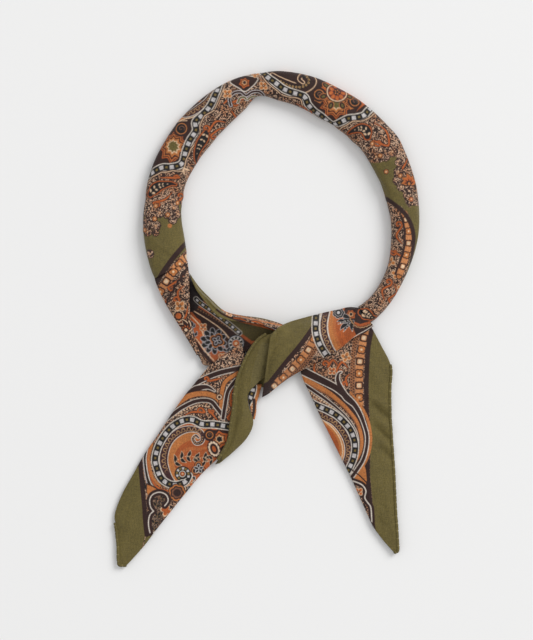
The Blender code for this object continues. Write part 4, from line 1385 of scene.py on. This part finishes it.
def paint_wrap(p):
    # everything right of the brown line is print
    p.area([(318, 310), (314, 326), (300, 345), (285, 363), (267, 386), (275, 410), (330, 390), (400, 360),
        (400, 290), (340, 300)], GROUND, 1.0)
    p.chain([(322, 322), (309.6, 347.4), (302, 358), (294, 367), (285, 376), (272, 388)], 8.4, 12.4, 0, 0.95)
    p.stroke([(320, 318), (314, 326), (300, 345), (285, 363), (268, 385)], 4.6, CHOCOLATE)
    p.ticks([(326, 324), (314, 350), (302, 366), (292, 376), (280, 386)], 2, 1.9, 2.6)
    p.area([(313, 314), (311, 330), (314, 344), (323, 358), (345, 362), (400, 340), (400, 300), (350, 306)],
        DEEP)
    p.rimmed([(326, 312), (323.4, 324), (324.6, 336), (330.6, 350), (338.6, 360)], 7.6, CHOCOLATE, WHITE,
        0.8)
    p.squiggle([(326, 312), (323.4, 324), (324.6, 336), (330.6, 350), (338.6, 360)], 6.2)
    p.stroke([(333, 312), (330.4, 324), (331.8, 336), (337, 348), (345, 358)], 4.6, TAN)
    p.stroke([(337, 312), (334, 324), (335.4, 336), (340.6, 347), (348, 356)], 3.0, (164, 92, 46))
    p.stroke([(341, 322), (342, 334), (347, 344), (354, 352)], 3.0, ORANGE, taper=(0.4, 0.4))
    # the dark spray and the flower heads
    p.area([(346, 304), (344, 312), (350, 320), (360, 324), (380, 318), (380, 300)], CHOCOLATE)
    flame(p, 351, 314, 6.0, 110)
    for x, y, long, turn in (
        (351, 321, 12.0, 125), (350, 320, 11.0, 160), (349, 318, 10.0, 190), (353, 321, 10.0, 95),
        (347, 324, 9.0, 140), (344, 321, 7.0, 175),
    ):
        leaf(p, x, y, long, long * 0.4, turn, BLACK, GREY, 0.45)
    beads(p, [(350, 322), (346, 328), (342, 333)], 2.6, 0.5, WHITE)
    beads(p, [(349, 320), (343, 322), (338, 324)], 2.6, 0.5, WHITE)
    beads(p, [(354, 322), (353, 327), (352, 332)], 2.6, 0.5, WHITE)
    p.rosette(338.4, 312.6, 6.2, [(1.0, GREY), (0.9, BLACK), (0.66, GREY), (0.56, BLACK), (0.26, GREY)],
        lobes=7)
    # the ring of arcs round the small paisley, and the dark corner below it
    p.area([(352, 326), (360, 328.6), (368, 326), (378, 318), (380, 324), (366, 334), (356, 335)], CHOCOLATE)
    scalloped(p, [(350, 318), (354, 324), (360, 327), (368, 325), (376, 319)], -0.9, 3.2, 0.8,
        (176, 138, 96), CHOCOLATE, 0.5)
    p.area([(362, 300), (358, 308), (366, 318), (376, 322), (390, 322), (390, 300)], GROUND, 1.0)
    p.boteh([(361.5, 312.4), (364.6, 313.6), (368.4, 315.6), (372, 317.6), (376, 317)], 8.8)
    p.stroke([(350, 341), (357, 335), (366, 330), (378, 322)], 0.9, WHITE)
    p.stroke([(352, 343), (359, 337), (368, 332), (380, 324)], 1.6, BLACK)
    p.area([(262, 384), (271, 380), (270, 392), (262, 404), (254, 404), (256, 394)], CHOCOLATE)
    p.squares([(316.8, 310), (315.6, 322), (315.6, 332), (319, 343.4), (327, 356), (338, 368)], 4.2)


def paint_fall(p):
    p.area([(262, 342), (258, 352), (252, 372), (250, 386), (268, 400), (276, 360), (272, 344)],
        (98, 88, 50))
    # painted shade: dark olive at the fall's tip, for the shaded fold under it
    p.area([(224.5, 440), (222.6, 452), (221.6, 461), (206, 470), (206, 454)], (62, 54, 28))


def paint_curl(p):
    p.colour[:] = TAN
    p.filler[:] = 0.0
    p.squares([(252, 380), (253, 388), (251, 396), (247, 404)], 4.2, 8.0)
    p.stroke([(246.6, 386), (245.6, 396), (246, 404), (248, 414), (248, 424)], 1.8, ORANGE)
    p.stroke([(248.6, 386), (247.6, 396), (248, 404), (250, 412), (250, 424)], 1.2, CREAM)
    p.stroke([(254, 400), (254, 408), (252, 418)], 3.0, CHOCOLATE)
    beads(p, [(252, 402), (252, 410), (250, 420)], 2.6, 0.7)


def paint_left_tail(p):
    # the top strip: filler, the white-edged bands and the light one between them
    p.rimmed([(180, 394), (189, 389.5), (196, 383), (217, 373.5), (240, 368)], 4.4, CHOCOLATE)
    p.rimmed([(179, 402), (186, 396), (196, 389), (207, 387), (215, 391)], [1.0, 5.0, 6.0, 4.0, 0.5],
        CHOCOLATE)
    p.rimmed([(166, 412), (178, 403), (189, 396), (202, 393.5), (214, 396), (221, 403), (221, 413)], 5.2,
        TAN, DARK_RIM, 0.8)
    p.rimmed([(221, 408), (222, 392), (226, 381), (238, 373)], 4.0, TAN, DARK_RIM, 0.8)
    p.rimmed([(160, 424), (173, 414), (183, 407), (196.5, 401), (210, 401), (217, 408), (223, 416)], 3.4,
        CHOCOLATE)
    p.rimmed([(223, 418), (225, 406), (228, 391), (236, 380)], 3.2, CHOCOLATE)
    p.rosette(219.4, 397, 3.2, [(1.0, DARK_RIM), (0.8, CREAM), (0.45, CHOCOLATE)], lobes=0)
    p.scrolls(
        [
            spiral(200, 411, 4, 20, 1.1, [(192, 412), (184, 416)]),
            spiral(212, 411, 3, 200, 1.1, [(214, 416), (218, 421)]),
            spiral(206, 379, 3, 40, 1.0, [(214, 380), (222, 378)]),
            spiral(231, 402, 3, 90, 1.1, [(231, 394), (234, 388)]),
            spiral(230, 418, 2.6, 250, 1.1, [(231, 412), (232, 408)]),
        ],
        2.0,
    )
    beads(p, [(172, 418), (184, 410.5), (197, 406), (210, 406.5)], 3.2, 0.9)

    # the big hooked paisley: field, looped band, squares and the curled end
    outer = [(236, 431), (225, 429.5), (213.5, 428), (202, 427.5), (193, 423.5), (185, 423), (176, 427),
        (168, 434), (161, 443), (157, 451), (155, 461), (157, 470), (161, 479), (169, 485), (178, 488),
        (200, 486), (236, 470)]
    p.area(outer, DEEP)
    p.stroke([(214, 436), (205, 433), (196, 436), (186, 437.6), (176, 444.6), (170, 456), (171, 468),
        (178, 478)], 8.0, TAN)
    p.stroke([(212, 446), (200, 449), (188, 449), (180, 456), (178, 464)], 3.0, (164, 92, 46),
        taper=(0.4, 0.4))
    hook = [(174, 482), (167.6, 474.4), (163.6, 462), (165.4, 448.6), (171, 438.6), (180, 431.6),
        (190, 429), (198.6, 430.6), (202.8, 436), (201.4, 442), (196, 443.4), (193, 439), (195.6, 435.6),
        (198.4, 437.6)]
    p.rimmed(hook, [2.0, 5.6, 7.2, 7.6, 7.6, 7.4, 7.0, 6.6, 5.6, 4.6, 3.8, 3.0, 2.2, 1.4], PLUM, WHITE, 0.8)
    p.looped(hook[1:9], 6.4)
    beads(p, hook[8:13], 2.2, 0.6, (178, 142, 94))
    bold_spray(p, [(175, 462), (182, 457.6), (190, 456), (199, 458), (207, 457)], 5, 6.6)
    bold_spray(p, [(212, 460), (204, 462), (197, 461)], 3, 5.4)
    p.area([(208, 430), (240, 430), (240, 456), (224, 462), (214, 446), (206, 438)], CHOCOLATE)
    flame(p, 219, 439, 11, 30)
    eye(p, 209.6, 435, 3.4)
    p.blob(214, 449, 9, 6.4, 68, DARK_RIM)
    p.blob(214, 449, 8.2, 5.6, 68, PALE, lobes=12, depth=0.12)
    p.blob(214, 449, 5.6, 3.6, 68, CHOCOLATE)
    p.blob(214, 449, 3.2, 1.8, 68, ORANGE)
    p.petals(198.5, 469, 3.6, 3, 4.6, 4.2, DARK_RIM, start=270)
    p.petals(198.5, 469, 3.6, 3, 3.9, 3.5, TAN, start=270)
    p.petals(198.5, 469, 3.4, 3, 2.8, 2.5, CHOCOLATE, start=270)
    p.petals(198.5, 469, 2.4, 5, 1.9, 1.0, BLACK, GREY, start=270)
    p.area([(176, 492), (188, 486), (200, 480), (214, 470), (226, 470), (204, 500), (180, 506)], CHOCOLATE)
    p.petals(190, 483, 4.4, 5, 3.0, 1.7, BLACK, GREY, start=20)
    p.rosette(182, 489, 5, [(1.0, DARK_RIM), (0.86, CREAM), (0.6, CHOCOLATE), (0.3, ORANGE)], lobes=4,
        depth=0.2)
    petal_flower(p, 189, 482.5, 4.4)
    petal_flower(p, 221, 462, 4.4, TAN)
    squares = [(236, 428), (225, 426), (213.5, 424.4), (202, 424), (193, 420), (185, 420), (176, 424),
        (168, 431), (161, 441), (157, 450), (155, 460), (157, 469), (161, 478.5), (169, 484), (177, 485),
        (185, 482), (188.6, 476)]
    p.squares(squares, 4.2)
    p.blob(182, 473.6, 6.8, 6.8, 0, WHITE)
    p.blob(182, 473.6, 5.9, 5.9, 0, BLACK)
    turn = [(188.4, 478), (188, 471.6), (184, 468.6), (179, 469.4), (176.8, 474), (179, 478.2)]
    p.squares(turn, 2.4, 5.6, False)
    p.rosette(182.4, 474, 3.4, [(1.0, WHITE), (0.74, DARK_RIM), (0.6, ORANGE), (0.24, CREAM)], lobes=0)

    # outside its turn: thin lines, the orange triangle and the lobes at its foot
    for shift, width, colour in ((0.0, 2.0, ORANGE), (1.6, 1.2, WHITE), (3.0, 1.8, BLACK), (4.4, 1.1, GREY),
            (6.6, 2.0, BLACK)):
        line = [(152 - shift, 440), (149 - shift, 450), (147.6 - shift, 461.5), (151 - shift, 478 + shift)]
        line += [(158 - shift, 488 + shift), (170 - shift, 491.5 + shift)]
        p.stroke(line, width, colour)
    p.stroke([(152, 444), (149, 456), (149.5, 466), (153, 478), (160, 486)], 2.6, TAN)
    p.area([(147, 484), (152, 486), (162, 492), (169, 499), (158, 500), (150, 500), (146.5, 492)], TAN)
    p.stroke(np.array([(147, 484), (152, 486), (162, 492), (169, 499)]), 1.2, DARK_RIM)
    lobes = [(164.6, 506), (168, 500.8), (166, 495), (159.6, 492.4), (152.8, 494.6), (149.6, 500),
        (150.4, 507), (153.4, 511.4)]
    foot = [(153.4, 511.4), (149.8, 515), (148.4, 521), (148.6, 527), (149.8, 533)]
    p.rosette(177, 493, 9.4, [(1.0, DARK_RIM), (0.92, TAN), (0.74, CHOCOLATE), (0.6, UMBER), (0.4,
        CHOCOLATE)], lobes=7)
    p.area(lobes + foot + [(158, 532), (168, 520), (166, 511)], (40, 30, 26), 0.5)
    bold_spray(p, [(154, 530), (154, 522), (158, 515)], 3, 5.0, (120, 92, 60))
    bold_spray(p, [(156, 506), (158, 501), (162, 498)], 2, 4.6, (120, 92, 60))
    p.blob(166, 511, 6.4, 6.4, 20, CREAM, lobes=4, depth=0.55)
    p.blob(166, 511, 5.0, 5.0, 20, ORANGE, lobes=4, depth=0.55)
    p.area([(100, 452), (136, 458), (138.6, 464), (140.6, 486), (142.6, 508), (145, 536), (130, 600),
        (100, 600)], OLIVE)
    p.area([(146, 535), (152, 534), (160, 530), (178, 514), (196, 500), (196, 620), (120, 620), (140, 560)],
        OLIVE)
    p.stroke([(147, 533.6), (153, 533), (160, 528.6), (176, 513), (190, 500)], 1.4, WHITE)
    p.stroke([(139, 450), (140.4, 466), (142.2, 486), (144, 504), (145, 520), (146.6, 535)], 4.4, CHOCOLATE)
    for width, colour in ((6.4, CHOCOLATE), (3.0, DARK_RIM), (1.25, WHITE)):
        for line in (lobes, foot):
            p.stroke(line, width, colour)


def paint_right_tail(p):
    # the upper part: filler with scrolls, ticks and the chain beside the brown line
    p.ticks([(357, 335), (353.6, 352), (352.6, 372), (352.4, 398)], 2, 2.0, 2.8)
    p.chain([(365, 333), (361.5, 350), (359.4, 368), (359.2, 393), (360, 416)], 8.0, 12, 1, 0.95)
    p.scrolls(
        [
            spiral(325, 364, 4, 40, 1.1, [(333, 360), (338, 366)]),
            spiral(340, 371, 3.4, 200, 1.1, [(342, 362), (348, 368)]),
            spiral(317, 376, 3.2, 90, 1.0, [(314, 368), (316, 362)]),
            spiral(344, 384, 3, 20, 1.0, [(346, 378), (350, 374)]),
        ],
        2.1,
    )
    petal_flower(p, 346, 357, 4.6, TAN, start=20)
    petal_flower(p, 332, 371, 3.8, ORANGE)

    # the olive border on the right of the brown line
    p.area([(372.4, 330), (368.8, 358), (368.4, 381), (369, 406), (370, 424), (370.4, 440), (370.2, 455),
        (370, 475), (371.4, 490), (373.6, 513), (376, 540), (384, 580), (430, 580), (430, 330)], OLIVE)
    line = [(371.6, 330), (368, 350), (366.4, 381), (366.4, 400), (367.2, 424), (367.6, 455), (367.6, 475),
        (369, 490)]
    p.stroke(line + [(371, 513), (374, 534)], 4.7, CHOCOLATE)

    # the bands that sweep down from the knot
    p.area([(352, 466), (362, 458), (366, 470), (367, 480), (366, 486), (356, 482)], TAN)
    sliver = [(350, 392), (358, 402), (364.4, 412), (368.4, 422), (370.4, 432), (370.8, 441), (369.4, 451),
        (365.8, 461)]
    p.stroke(sliver + [(359, 472)], [1.2, 2.2, 2.8, 3.0, 3.0, 3.0, 3.0, 3.2, 3.6], TAN)
    under = [(294, 370), (313, 381), (332, 394), (347, 405.6), (355, 414), (360.6, 424), (363.6, 434),
        (364.4, 444)]
    p.stroke(under + [(361.4, 455), (353, 469)], [10, 10, 9, 8, 7, 6, 5, 5, 5, 4], CHOCOLATE)
    light = [(294, 374), (304, 380), (327, 392), (342, 404), (350, 412.6), (355, 419), (359, 427),
        (361.4, 436), (361.8, 444), (360.4, 452), (356.6, 460), (350, 468)]
    wide = [6.6, 6.6, 6.2, 5.4, 4.8, 4.4, 4.0, 3.8, 3.6, 3.2, 2.8, 2.4]
    p.rimmed(light, wide, TAN, DARK_RIM, 0.7)
    p.stroke([(300, 380.6), (325, 393), (341, 405.6), (349, 413.6), (354, 420), (358, 428)], 0.8,
        (120, 72, 42))
    band = [(294, 366), (305, 372), (321, 380), (336, 388), (349, 399), (355.4, 406), (360.6, 415),
        (364.4, 425), (366.9, 434), (367.2, 442), (365.8, 451.5), (362.6, 461), (357, 470), (352, 477)]
    horn = [(352, 403.6), (346, 397), (340.6, 388), (337.6, 380), (338.4, 374), (341, 372)]
    thick = [7.0, 7.0, 6.6, 6.2, 5.6, 5.2, 4.6, 3.8, 3.0, 2.8, 2.8, 3.0, 3.2, 3.2]
    thin = [3.0, 5.6, 5.4, 4.2, 3.2, 1.2]
    p.stroke(band, [width + 2 for width in thick], WHITE)
    p.stroke(horn, [width + 2 for width in thin], WHITE)
    p.stroke(band, thick, CHOCOLATE)
    p.stroke(horn, thin, CHOCOLATE)
    inner = [(300, 382), (308, 387), (328, 401), (342, 412.5), (350, 421.4), (355, 429.6), (357.8, 438),
        (358, 446), (356.6, 454)]
    p.rimmed(inner, [2.6, 2.6, 2.6, 2.2, 1.6, 1.2, 1.0, 0.8, 0.6], CHOCOLATE, WHITE, 0.8)
    beads(p, [(308, 391), (318, 398), (330, 406), (340, 415)], 3.0, 1.0)
    beads(p, [(309, 395), (319, 402), (331, 410)], 3.0, 0.8, TAN)

    # the hooked paisley again, cut off by the fold
    p.area([(312, 402), (327, 409), (342, 420), (351, 434), (354, 446), (352, 458), (346, 472), (300, 440)],
        DEEP)
    p.stroke([(316, 415), (328, 423), (337, 432), (342, 443), (343, 454), (340, 466)], 7.0, TAN)
    p.squiggle([(314, 410), (324, 416.5), (334, 422), (342, 431), (347.4, 442), (348.4, 454), (345, 466)],
        6.4)
    p.stroke([(316, 417), (326, 422.5), (334.4, 430), (340.6, 440), (342.8, 452), (340, 464)], 1.3, CREAM)
    squares = [(310, 402), (319, 406.6), (327, 410), (336, 415), (344, 422), (350.4, 430), (353.8, 438),
        (355.2, 446)]
    p.squares(squares + [(354.6, 454), (352.4, 462), (348, 471)], 4.0)

    # below it: the orange triangle and the lobes
    p.stroke(np.array([(352, 470), (360, 476), (367, 483)]), 1.1, DARK_RIM)
    lobes = [(350, 481), (354, 481.6), (362, 485), (366, 491), (365, 498), (368, 503), (371, 508),
        (372, 522)]
    p.area(lobes + [(372, 540), (350, 540), (340, 481)], GROUND, 1.0)
    p.stroke(lobes, 6.0, CHOCOLATE)
    p.stroke(lobes, 3.6, DARK_RIM)
    p.stroke(lobes, 1.4, WHITE)
    petal_flower(p, 359, 492, 3.8, ORANGE)


# ---------------------------------------------------------------- where the creases are

LEFT_CREASES = [
    ([(234, 386), (205, 440), (160, 500), (135, 545)], 7, 0.5),
    ([(214, 380), (190, 420), (168, 452)], 5, -0.45),
    ([(228, 420), (214, 452), (190, 480)], 4, -0.4),
    ([(170, 460), (150, 500), (134, 530)], 5, -0.35),
    ([(140, 500), (128, 530), (120, 556)], 4, 0.35),
]
RIGHT_CREASES = [
    ([(370, 404), (380, 412), (394, 424)], 3.6, -1.4),
    ([(368, 396), (380, 402), (393, 412)], 3.5, 0.6),
    ([(372, 424), (382, 434), (396, 448)], 3.6, -1.4),
    ([(374, 416), (386, 426), (397, 438)], 3, 0.5),
    ([(376, 446), (388, 456), (400, 472)], 3.6, -1.1),
    ([(380, 440), (390, 447), (400, 458)], 3, 0.5),
    ([(330, 366), (350, 420), (376, 480)], 6, 0.45),
    ([(318, 372), (336, 420), (360, 470)], 5, -0.35),
    ([(384, 480), (388, 510), (396, 540)], 5, 0.35),
    ([(360, 350), (374, 372), (384, 396)], 5, 0.4),
]
POCKET_CREASES = [
    ([(186, 300), (214, 318), (240, 332)], 3, 0.5),
    ([(196, 318), (216, 334), (232, 346)], 3, -0.5),
]
CORE_CREASES = [([(262, 340), (280, 350), (300, 344)], 4, -0.4)]
FRONT_CREASES = [
    ([(170, 286), (178, 306), (188, 330)], 3, -0.5),
    ([(164, 286), (172, 312), (184, 340)], 3, 0.4),
]
COLLAR_CREASES = [([(200, 300), (230, 317), (262, 324)], 2, -0.25)]
WRAP_CREASES = [
    ([(330, 318), (304, 336), (282, 352), (267, 372)], 5, 0.7),
    ([(345, 326), (318, 342), (296, 360), (274, 384)], 5, -0.6),
    ([(318, 318), (292, 332), (270, 352)], 4, -0.5),
    ([(362, 322), (336, 334), (314, 350)], 4, 0.5),
    ([(300, 352), (284, 370), (272, 392)], 3.5, 0.4),
    ([(268, 346), (266, 366), (264, 388)], 2.5, 0.35),
]
FALL_CREASES = [
    ([(266, 342), (254, 366), (246, 392)], 4, -0.7),
    ([(260, 338), (246, 362), (240, 392)], 3.5, 0.5),
    ([(246, 400), (240, 424), (228, 450)], 4, 0.5),
    ([(240, 388), (236, 420), (226, 452)], 3, -0.4),
]


def ring_shape(points, angles, seed):
    """The band with the soft slanting creases of a twisted cloth and slight waves, flat where it rests."""
    draw = np.random.default_rng(seed)
    rows, count = points.shape[:2]
    turn = np.radians(angles)[:, None]
    across = np.linspace(0, 1, count)[None, :]
    lift = np.zeros((rows, count))
    for _ in range(16):
        start = draw.uniform(angles[0] - 10, angles[-1])
        long = draw.uniform(16, 42)
        place = draw.uniform(0.2, 0.75)
        slant = draw.uniform(0.12, 0.4)
        wide = draw.uniform(0.03, 0.06)
        depth = draw.choice([-0.55, -0.4, 0.4])
        share = (angles[:, None] - start) / long
        fade = np.sin(math.pi * np.clip(share, 0, 1)) ** 0.7
        lift += depth * fade * np.exp(-(((across - place - slant * (share - 0.5)) / wide) ** 2))
    lift += 0.12 * np.sin(9 * turn + 7 * across + seed) + 0.1 * np.sin(17 * turn - 9 * across)
    along = np.gradient(points, axis=0)
    around = np.gradient(points, axis=1)
    out = np.cross(along, around)
    out /= np.maximum(np.linalg.norm(out, axis=2), 1e-9)[..., None]
    middle = points.mean(axis=1, keepdims=True)
    out *= np.sign(((points - middle) * out).sum(axis=(1, 2)))[:, None, None]
    rest = np.clip(points[..., 2] / 1.6 - 0.3, 0, 1)
    shaped = points + out * (lift * rest)[..., None]
    shaped[..., 2] = np.maximum(shaped[..., 2], 0.0)
    return shaped



def face(name, node, grid, finish, paint, a, b, start, end):
    """A thin face on its stretch, with its four edges turned and its print painted, in its node's place."""
    points, places = edged(grid, a, b, start, end)
    painted = Print(places, GROUND, 1.0) if finish == paisley else Print(places, OLIVE)
    paint(painted)
    item = cloth_piece(name, points, painted, finish)
    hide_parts(node)
    return item


# ---------------------------------------------------------------- the tails

left_grid = stretch("left_tail", LEFT_TAIL)
left_grid = creased(left_grid, LEFT_CREASES)
left_grid = rumpled(uneven(left_grid, 24, 0.16, 3), 26, 21, 50, 0.28)
edges = folded(), folded(), ALONG, SEWN
left_tail = face("left_tail_face", "left_tail", left_grid, paisley, paint_left_tail, *edges)

right_grid = stretch("right_tail", RIGHT_TAIL)
right_grid = creased(right_grid, RIGHT_CREASES)
right_grid = rumpled(uneven(right_grid, 26, 0.16, 5), 26, 22, 100, 0.28)
edges = folded(), SEWN, ALONG, SEWN
right_tail = face("right_tail_face", "right_tail", right_grid, paisley, paint_right_tail, *edges)

for name, node, rows, start, seed, painter in (
    ("left_tail_layers", "left_tail_under", LEFT_TAIL, 12, 2, paint_left_tail),
    ("right_tail_layers", "right_tail_under", RIGHT_TAIL, 1, 4, paint_right_tail),
):
    loops, painted, cloth = layered(node, rows, GROUND, 3, 0.6, 0.9, start, seed)
    painted.filler[:] = 1.0
    painter(painted)
    swept(name, loops, painted, paisley, cloth)
    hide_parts(node)

# ---------------------------------------------------------------- the pocket, the collar and the knot

loops, painted, cloth = layered("pocket_floor", POCKET, DEEP, 4, 1.2, 0.3, 0, 6, POCKET_CREASES, 0.4)
paint_pocket(painted)
pocket = swept("pocket_layers", loops, painted, rust, cloth)
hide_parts("pocket_floor")

loops, painted, cloth = layered("knot_core", KNOT_CORE, OLIVE, 5, 1.2, 0.3, 0, 7, CORE_CREASES)
knot_layers = swept("knot_layers", loops, painted, olive, cloth)
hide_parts("knot_core")

front_grid = stretch("pocket_front", POCKET_FRONT, 0.4)
front_grid = uneven(creased(front_grid, FRONT_CREASES), 15, 0.12, 8)
edges = folded(), folded(), ALONG, ALONG
front = face("pocket_front_face", "pocket_front", front_grid, paisley, paint_front, *edges)

collar_grid = stretch("collar_fold", COLLAR, 0.2, gap=0.26)
collar_grid = uneven(creased(collar_grid, COLLAR_CREASES), 13, 0.1, 9)
edges = folded(0.4, 0.8), folded(0.5, 0.8), ALONG, ALONG
collar = face("collar_fold_face", "collar_fold", collar_grid, olive, paint_collar, *edges)

wrap_grid = stretch("knot_wrap", KNOT_WRAP, 0.6, coarse=(34, 15))
wrap_grid = uneven(creased(wrap_grid, WRAP_CREASES), 17, 0.16, 10)
wrap_grid = rumpled(wrap_grid, 18, 23, 42, 0.3, 34)
edges = folded(0.6, 1.2), folded(0.6, 1.2), folded(0.6, 1.0), folded(0.6, 2.4)
wrap = face("knot_wrap_face", "knot_wrap", wrap_grid, olive, paint_wrap, *edges)

fall_grid = stretch("olive_fall", FALL)
fall_grid = uneven(creased(fall_grid, FALL_CREASES), 17, 0.16, 11)
fall_grid = rumpled(fall_grid, 12, 24, 76, 0.28)
edges = SEWN, folded(), ALONG, folded(0.4, 0.6)
fall = face("olive_fall_face", "olive_fall", fall_grid, olive, paint_fall, *edges)

curl_grid = stretch("fall_turn", CURL, 0.2, gap=0.22)
edges = folded(0.4, 0.6), folded(0.4, 0.8), ALONG, folded(0.4, 0.6)
curl = face("fall_turn_face", "fall_turn", curl_grid, paisley, paint_curl, *edges)

# ---------------------------------------------------------------- the loop

band = Band(ROLL)
ring_gap = 0.36
for name, node, start, end, seed in (
    ("neck_band_right", "neck_roll_right", -51.5, 101.9, 12),
    ("neck_band_left", "neck_roll_left", 101.2, 207.4, 13),
):
    angles = np.linspace(start, end, int(math.radians(end - start) * MEAN_RADIUS / ring_gap))
    points, places, cloth = band.surface(angles, ring_gap)
    points = ring_shape(points, angles, seed)
    ring_print = Print(places, GROUND, 1.0, band.at)
    paint_ring(ring_print)
    ring = cloth_piece(name, points, ring_print, paisley, cloth.reshape(-1, 2))
    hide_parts(node)

LIP_START, LIP_END = 5.3, -34.8
lip_rows = np.radians(np.linspace(LIP_START, LIP_END, 110))
lip_shape = band.row(np.degrees(lip_rows))
# across the lip and up, as shares of its width and the loop's height
section = [(0.35, 0.02), (0.35, 0.3), (0.36, 0.52), (0.55, 0.56), (0.8, 0.5), (0.97, 0.36), (1.0, 0.24),
    (0.97, 0.12)]
section += [(0.86, 0.03), (0.7, 0.0), (0.5, 0.0), (0.4, 0.0)]
loops = np.zeros((len(lip_rows), len(section), 3))
for k, (across, up) in enumerate(section):
    radius = lip_shape[:, 1] - lip_shape[:, 3] + across * lip_shape[:, 3]
    loops[:, k, 0] = LOOP_X + radius * np.cos(lip_rows)
    loops[:, k, 1] = LOOP_Y + radius * np.sin(lip_rows)
    loops[:, k, 2] = up * lip_shape[:, 2]
lip_print = Print(units(loops[..., :2]), OLIVE)
lip = swept("neck_band_lip", loops, lip_print, olive, lip_print.points * UNIT)
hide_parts("neck_roll_lip")

# ---------------------------------------------------------------- the rolled hems

HEM, THREAD = (92, 82, 42), (116, 104, 62)
left_hem = cord_piece("left_tail_rolled_hem", hem_line(left_grid, 0, -113.0, True), HEM, THREAD, 1)
right_hem = cord_piece("right_tail_rolled_hem", hem_line(right_grid, -1, -24.6, True), HEM, THREAD, 2)
fall_hem = cord_piece("fall_rolled_hem", hem_line(fall_grid, 0)[:-2], HEM, THREAD, 3)
for item, node in ((left_hem, "left_tail_hem"), (right_hem, "right_tail_hem"), (fall_hem, "fall_hem")):
    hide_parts(node)

# ---------------------------------------------------------------- floor, light and camera


FLOOR_TONE, SKY_LIGHT = 0.8, 0.73
KEY_POWER, KEY_SIZE = 262.0, 3.7
KEY_PLACE = (3.95, 3.35, 3.8)
KEY_COLOUR = (1.0, 0.995, 0.985)


def surface_material():
    n = Nodes("surface")
    paint = n.add("ShaderNodeTexNoise", Scale=3.0, Detail=2.0).outputs[0]
    value = n.math("ADD", n.math("MULTIPLY", n.math("SUBTRACT", paint, 0.5), 0.01), FLOOR_TONE)
    n.link(n.add("ShaderNodeCombineXYZ", X=value, Y=value, Z=value).outputs[0],
        n.shader.inputs["Base Color"])
    n.shader.inputs["Roughness"].default_value = 0.9
    n.shader.inputs["Specular IOR Level"].default_value = 0.1
    return n.material


FLOOR_SIZE, FLOOR_Z = 6.0, -0.0001
bpy.ops.mesh.primitive_plane_add(size=FLOOR_SIZE, location=(0, 0, FLOOR_Z))
ground = bpy.context.object
ground.name = "surface"
ground.data.materials.append(surface_material())


key_light = bpy.data.lights.new("key", "AREA")
key_light.shape = "DISK"
key_light.size = KEY_SIZE
key_light.energy = KEY_POWER
key_light.color = KEY_COLOUR
key = bpy.data.objects.new("key", key_light)
key.location = KEY_PLACE
key.rotation_euler = (-Vector(KEY_PLACE)).to_track_quat("-Z", "Y").to_euler()
bpy.context.scene.collection.objects.link(key)

world = bpy.data.worlds.new("studio")
world.use_nodes = True
sky = world.node_tree.nodes["Background"]
sky.inputs["Color"].default_value = (1.0, 1.0, 1.0, 1.0)
sky.inputs["Strength"].default_value = SKY_LIGHT
bpy.context.scene.world = world

CAMERA_HEIGHT = 1.5
CLOTH_HEIGHT = 0.005  # where a frame unit has its size
SENSOR = 24.0
CAMERA_X, CAMERA_Y = 0.00021, -0.00037
camera = bpy.data.cameras.new("camera")
camera.sensor_fit = "VERTICAL"
camera.sensor_height = SENSOR
camera.lens = SENSOR * (CAMERA_HEIGHT - CLOTH_HEIGHT) / (FRAME_H * UNIT * MM)
camera.clip_end = 10.0
viewer = bpy.data.objects.new("camera", camera)
viewer.location = (CAMERA_X, CAMERA_Y, CAMERA_HEIGHT)
bpy.context.scene.collection.objects.link(viewer)
bpy.context.scene.camera = viewer
bpy.context.scene.view_settings.view_transform = "Standard"
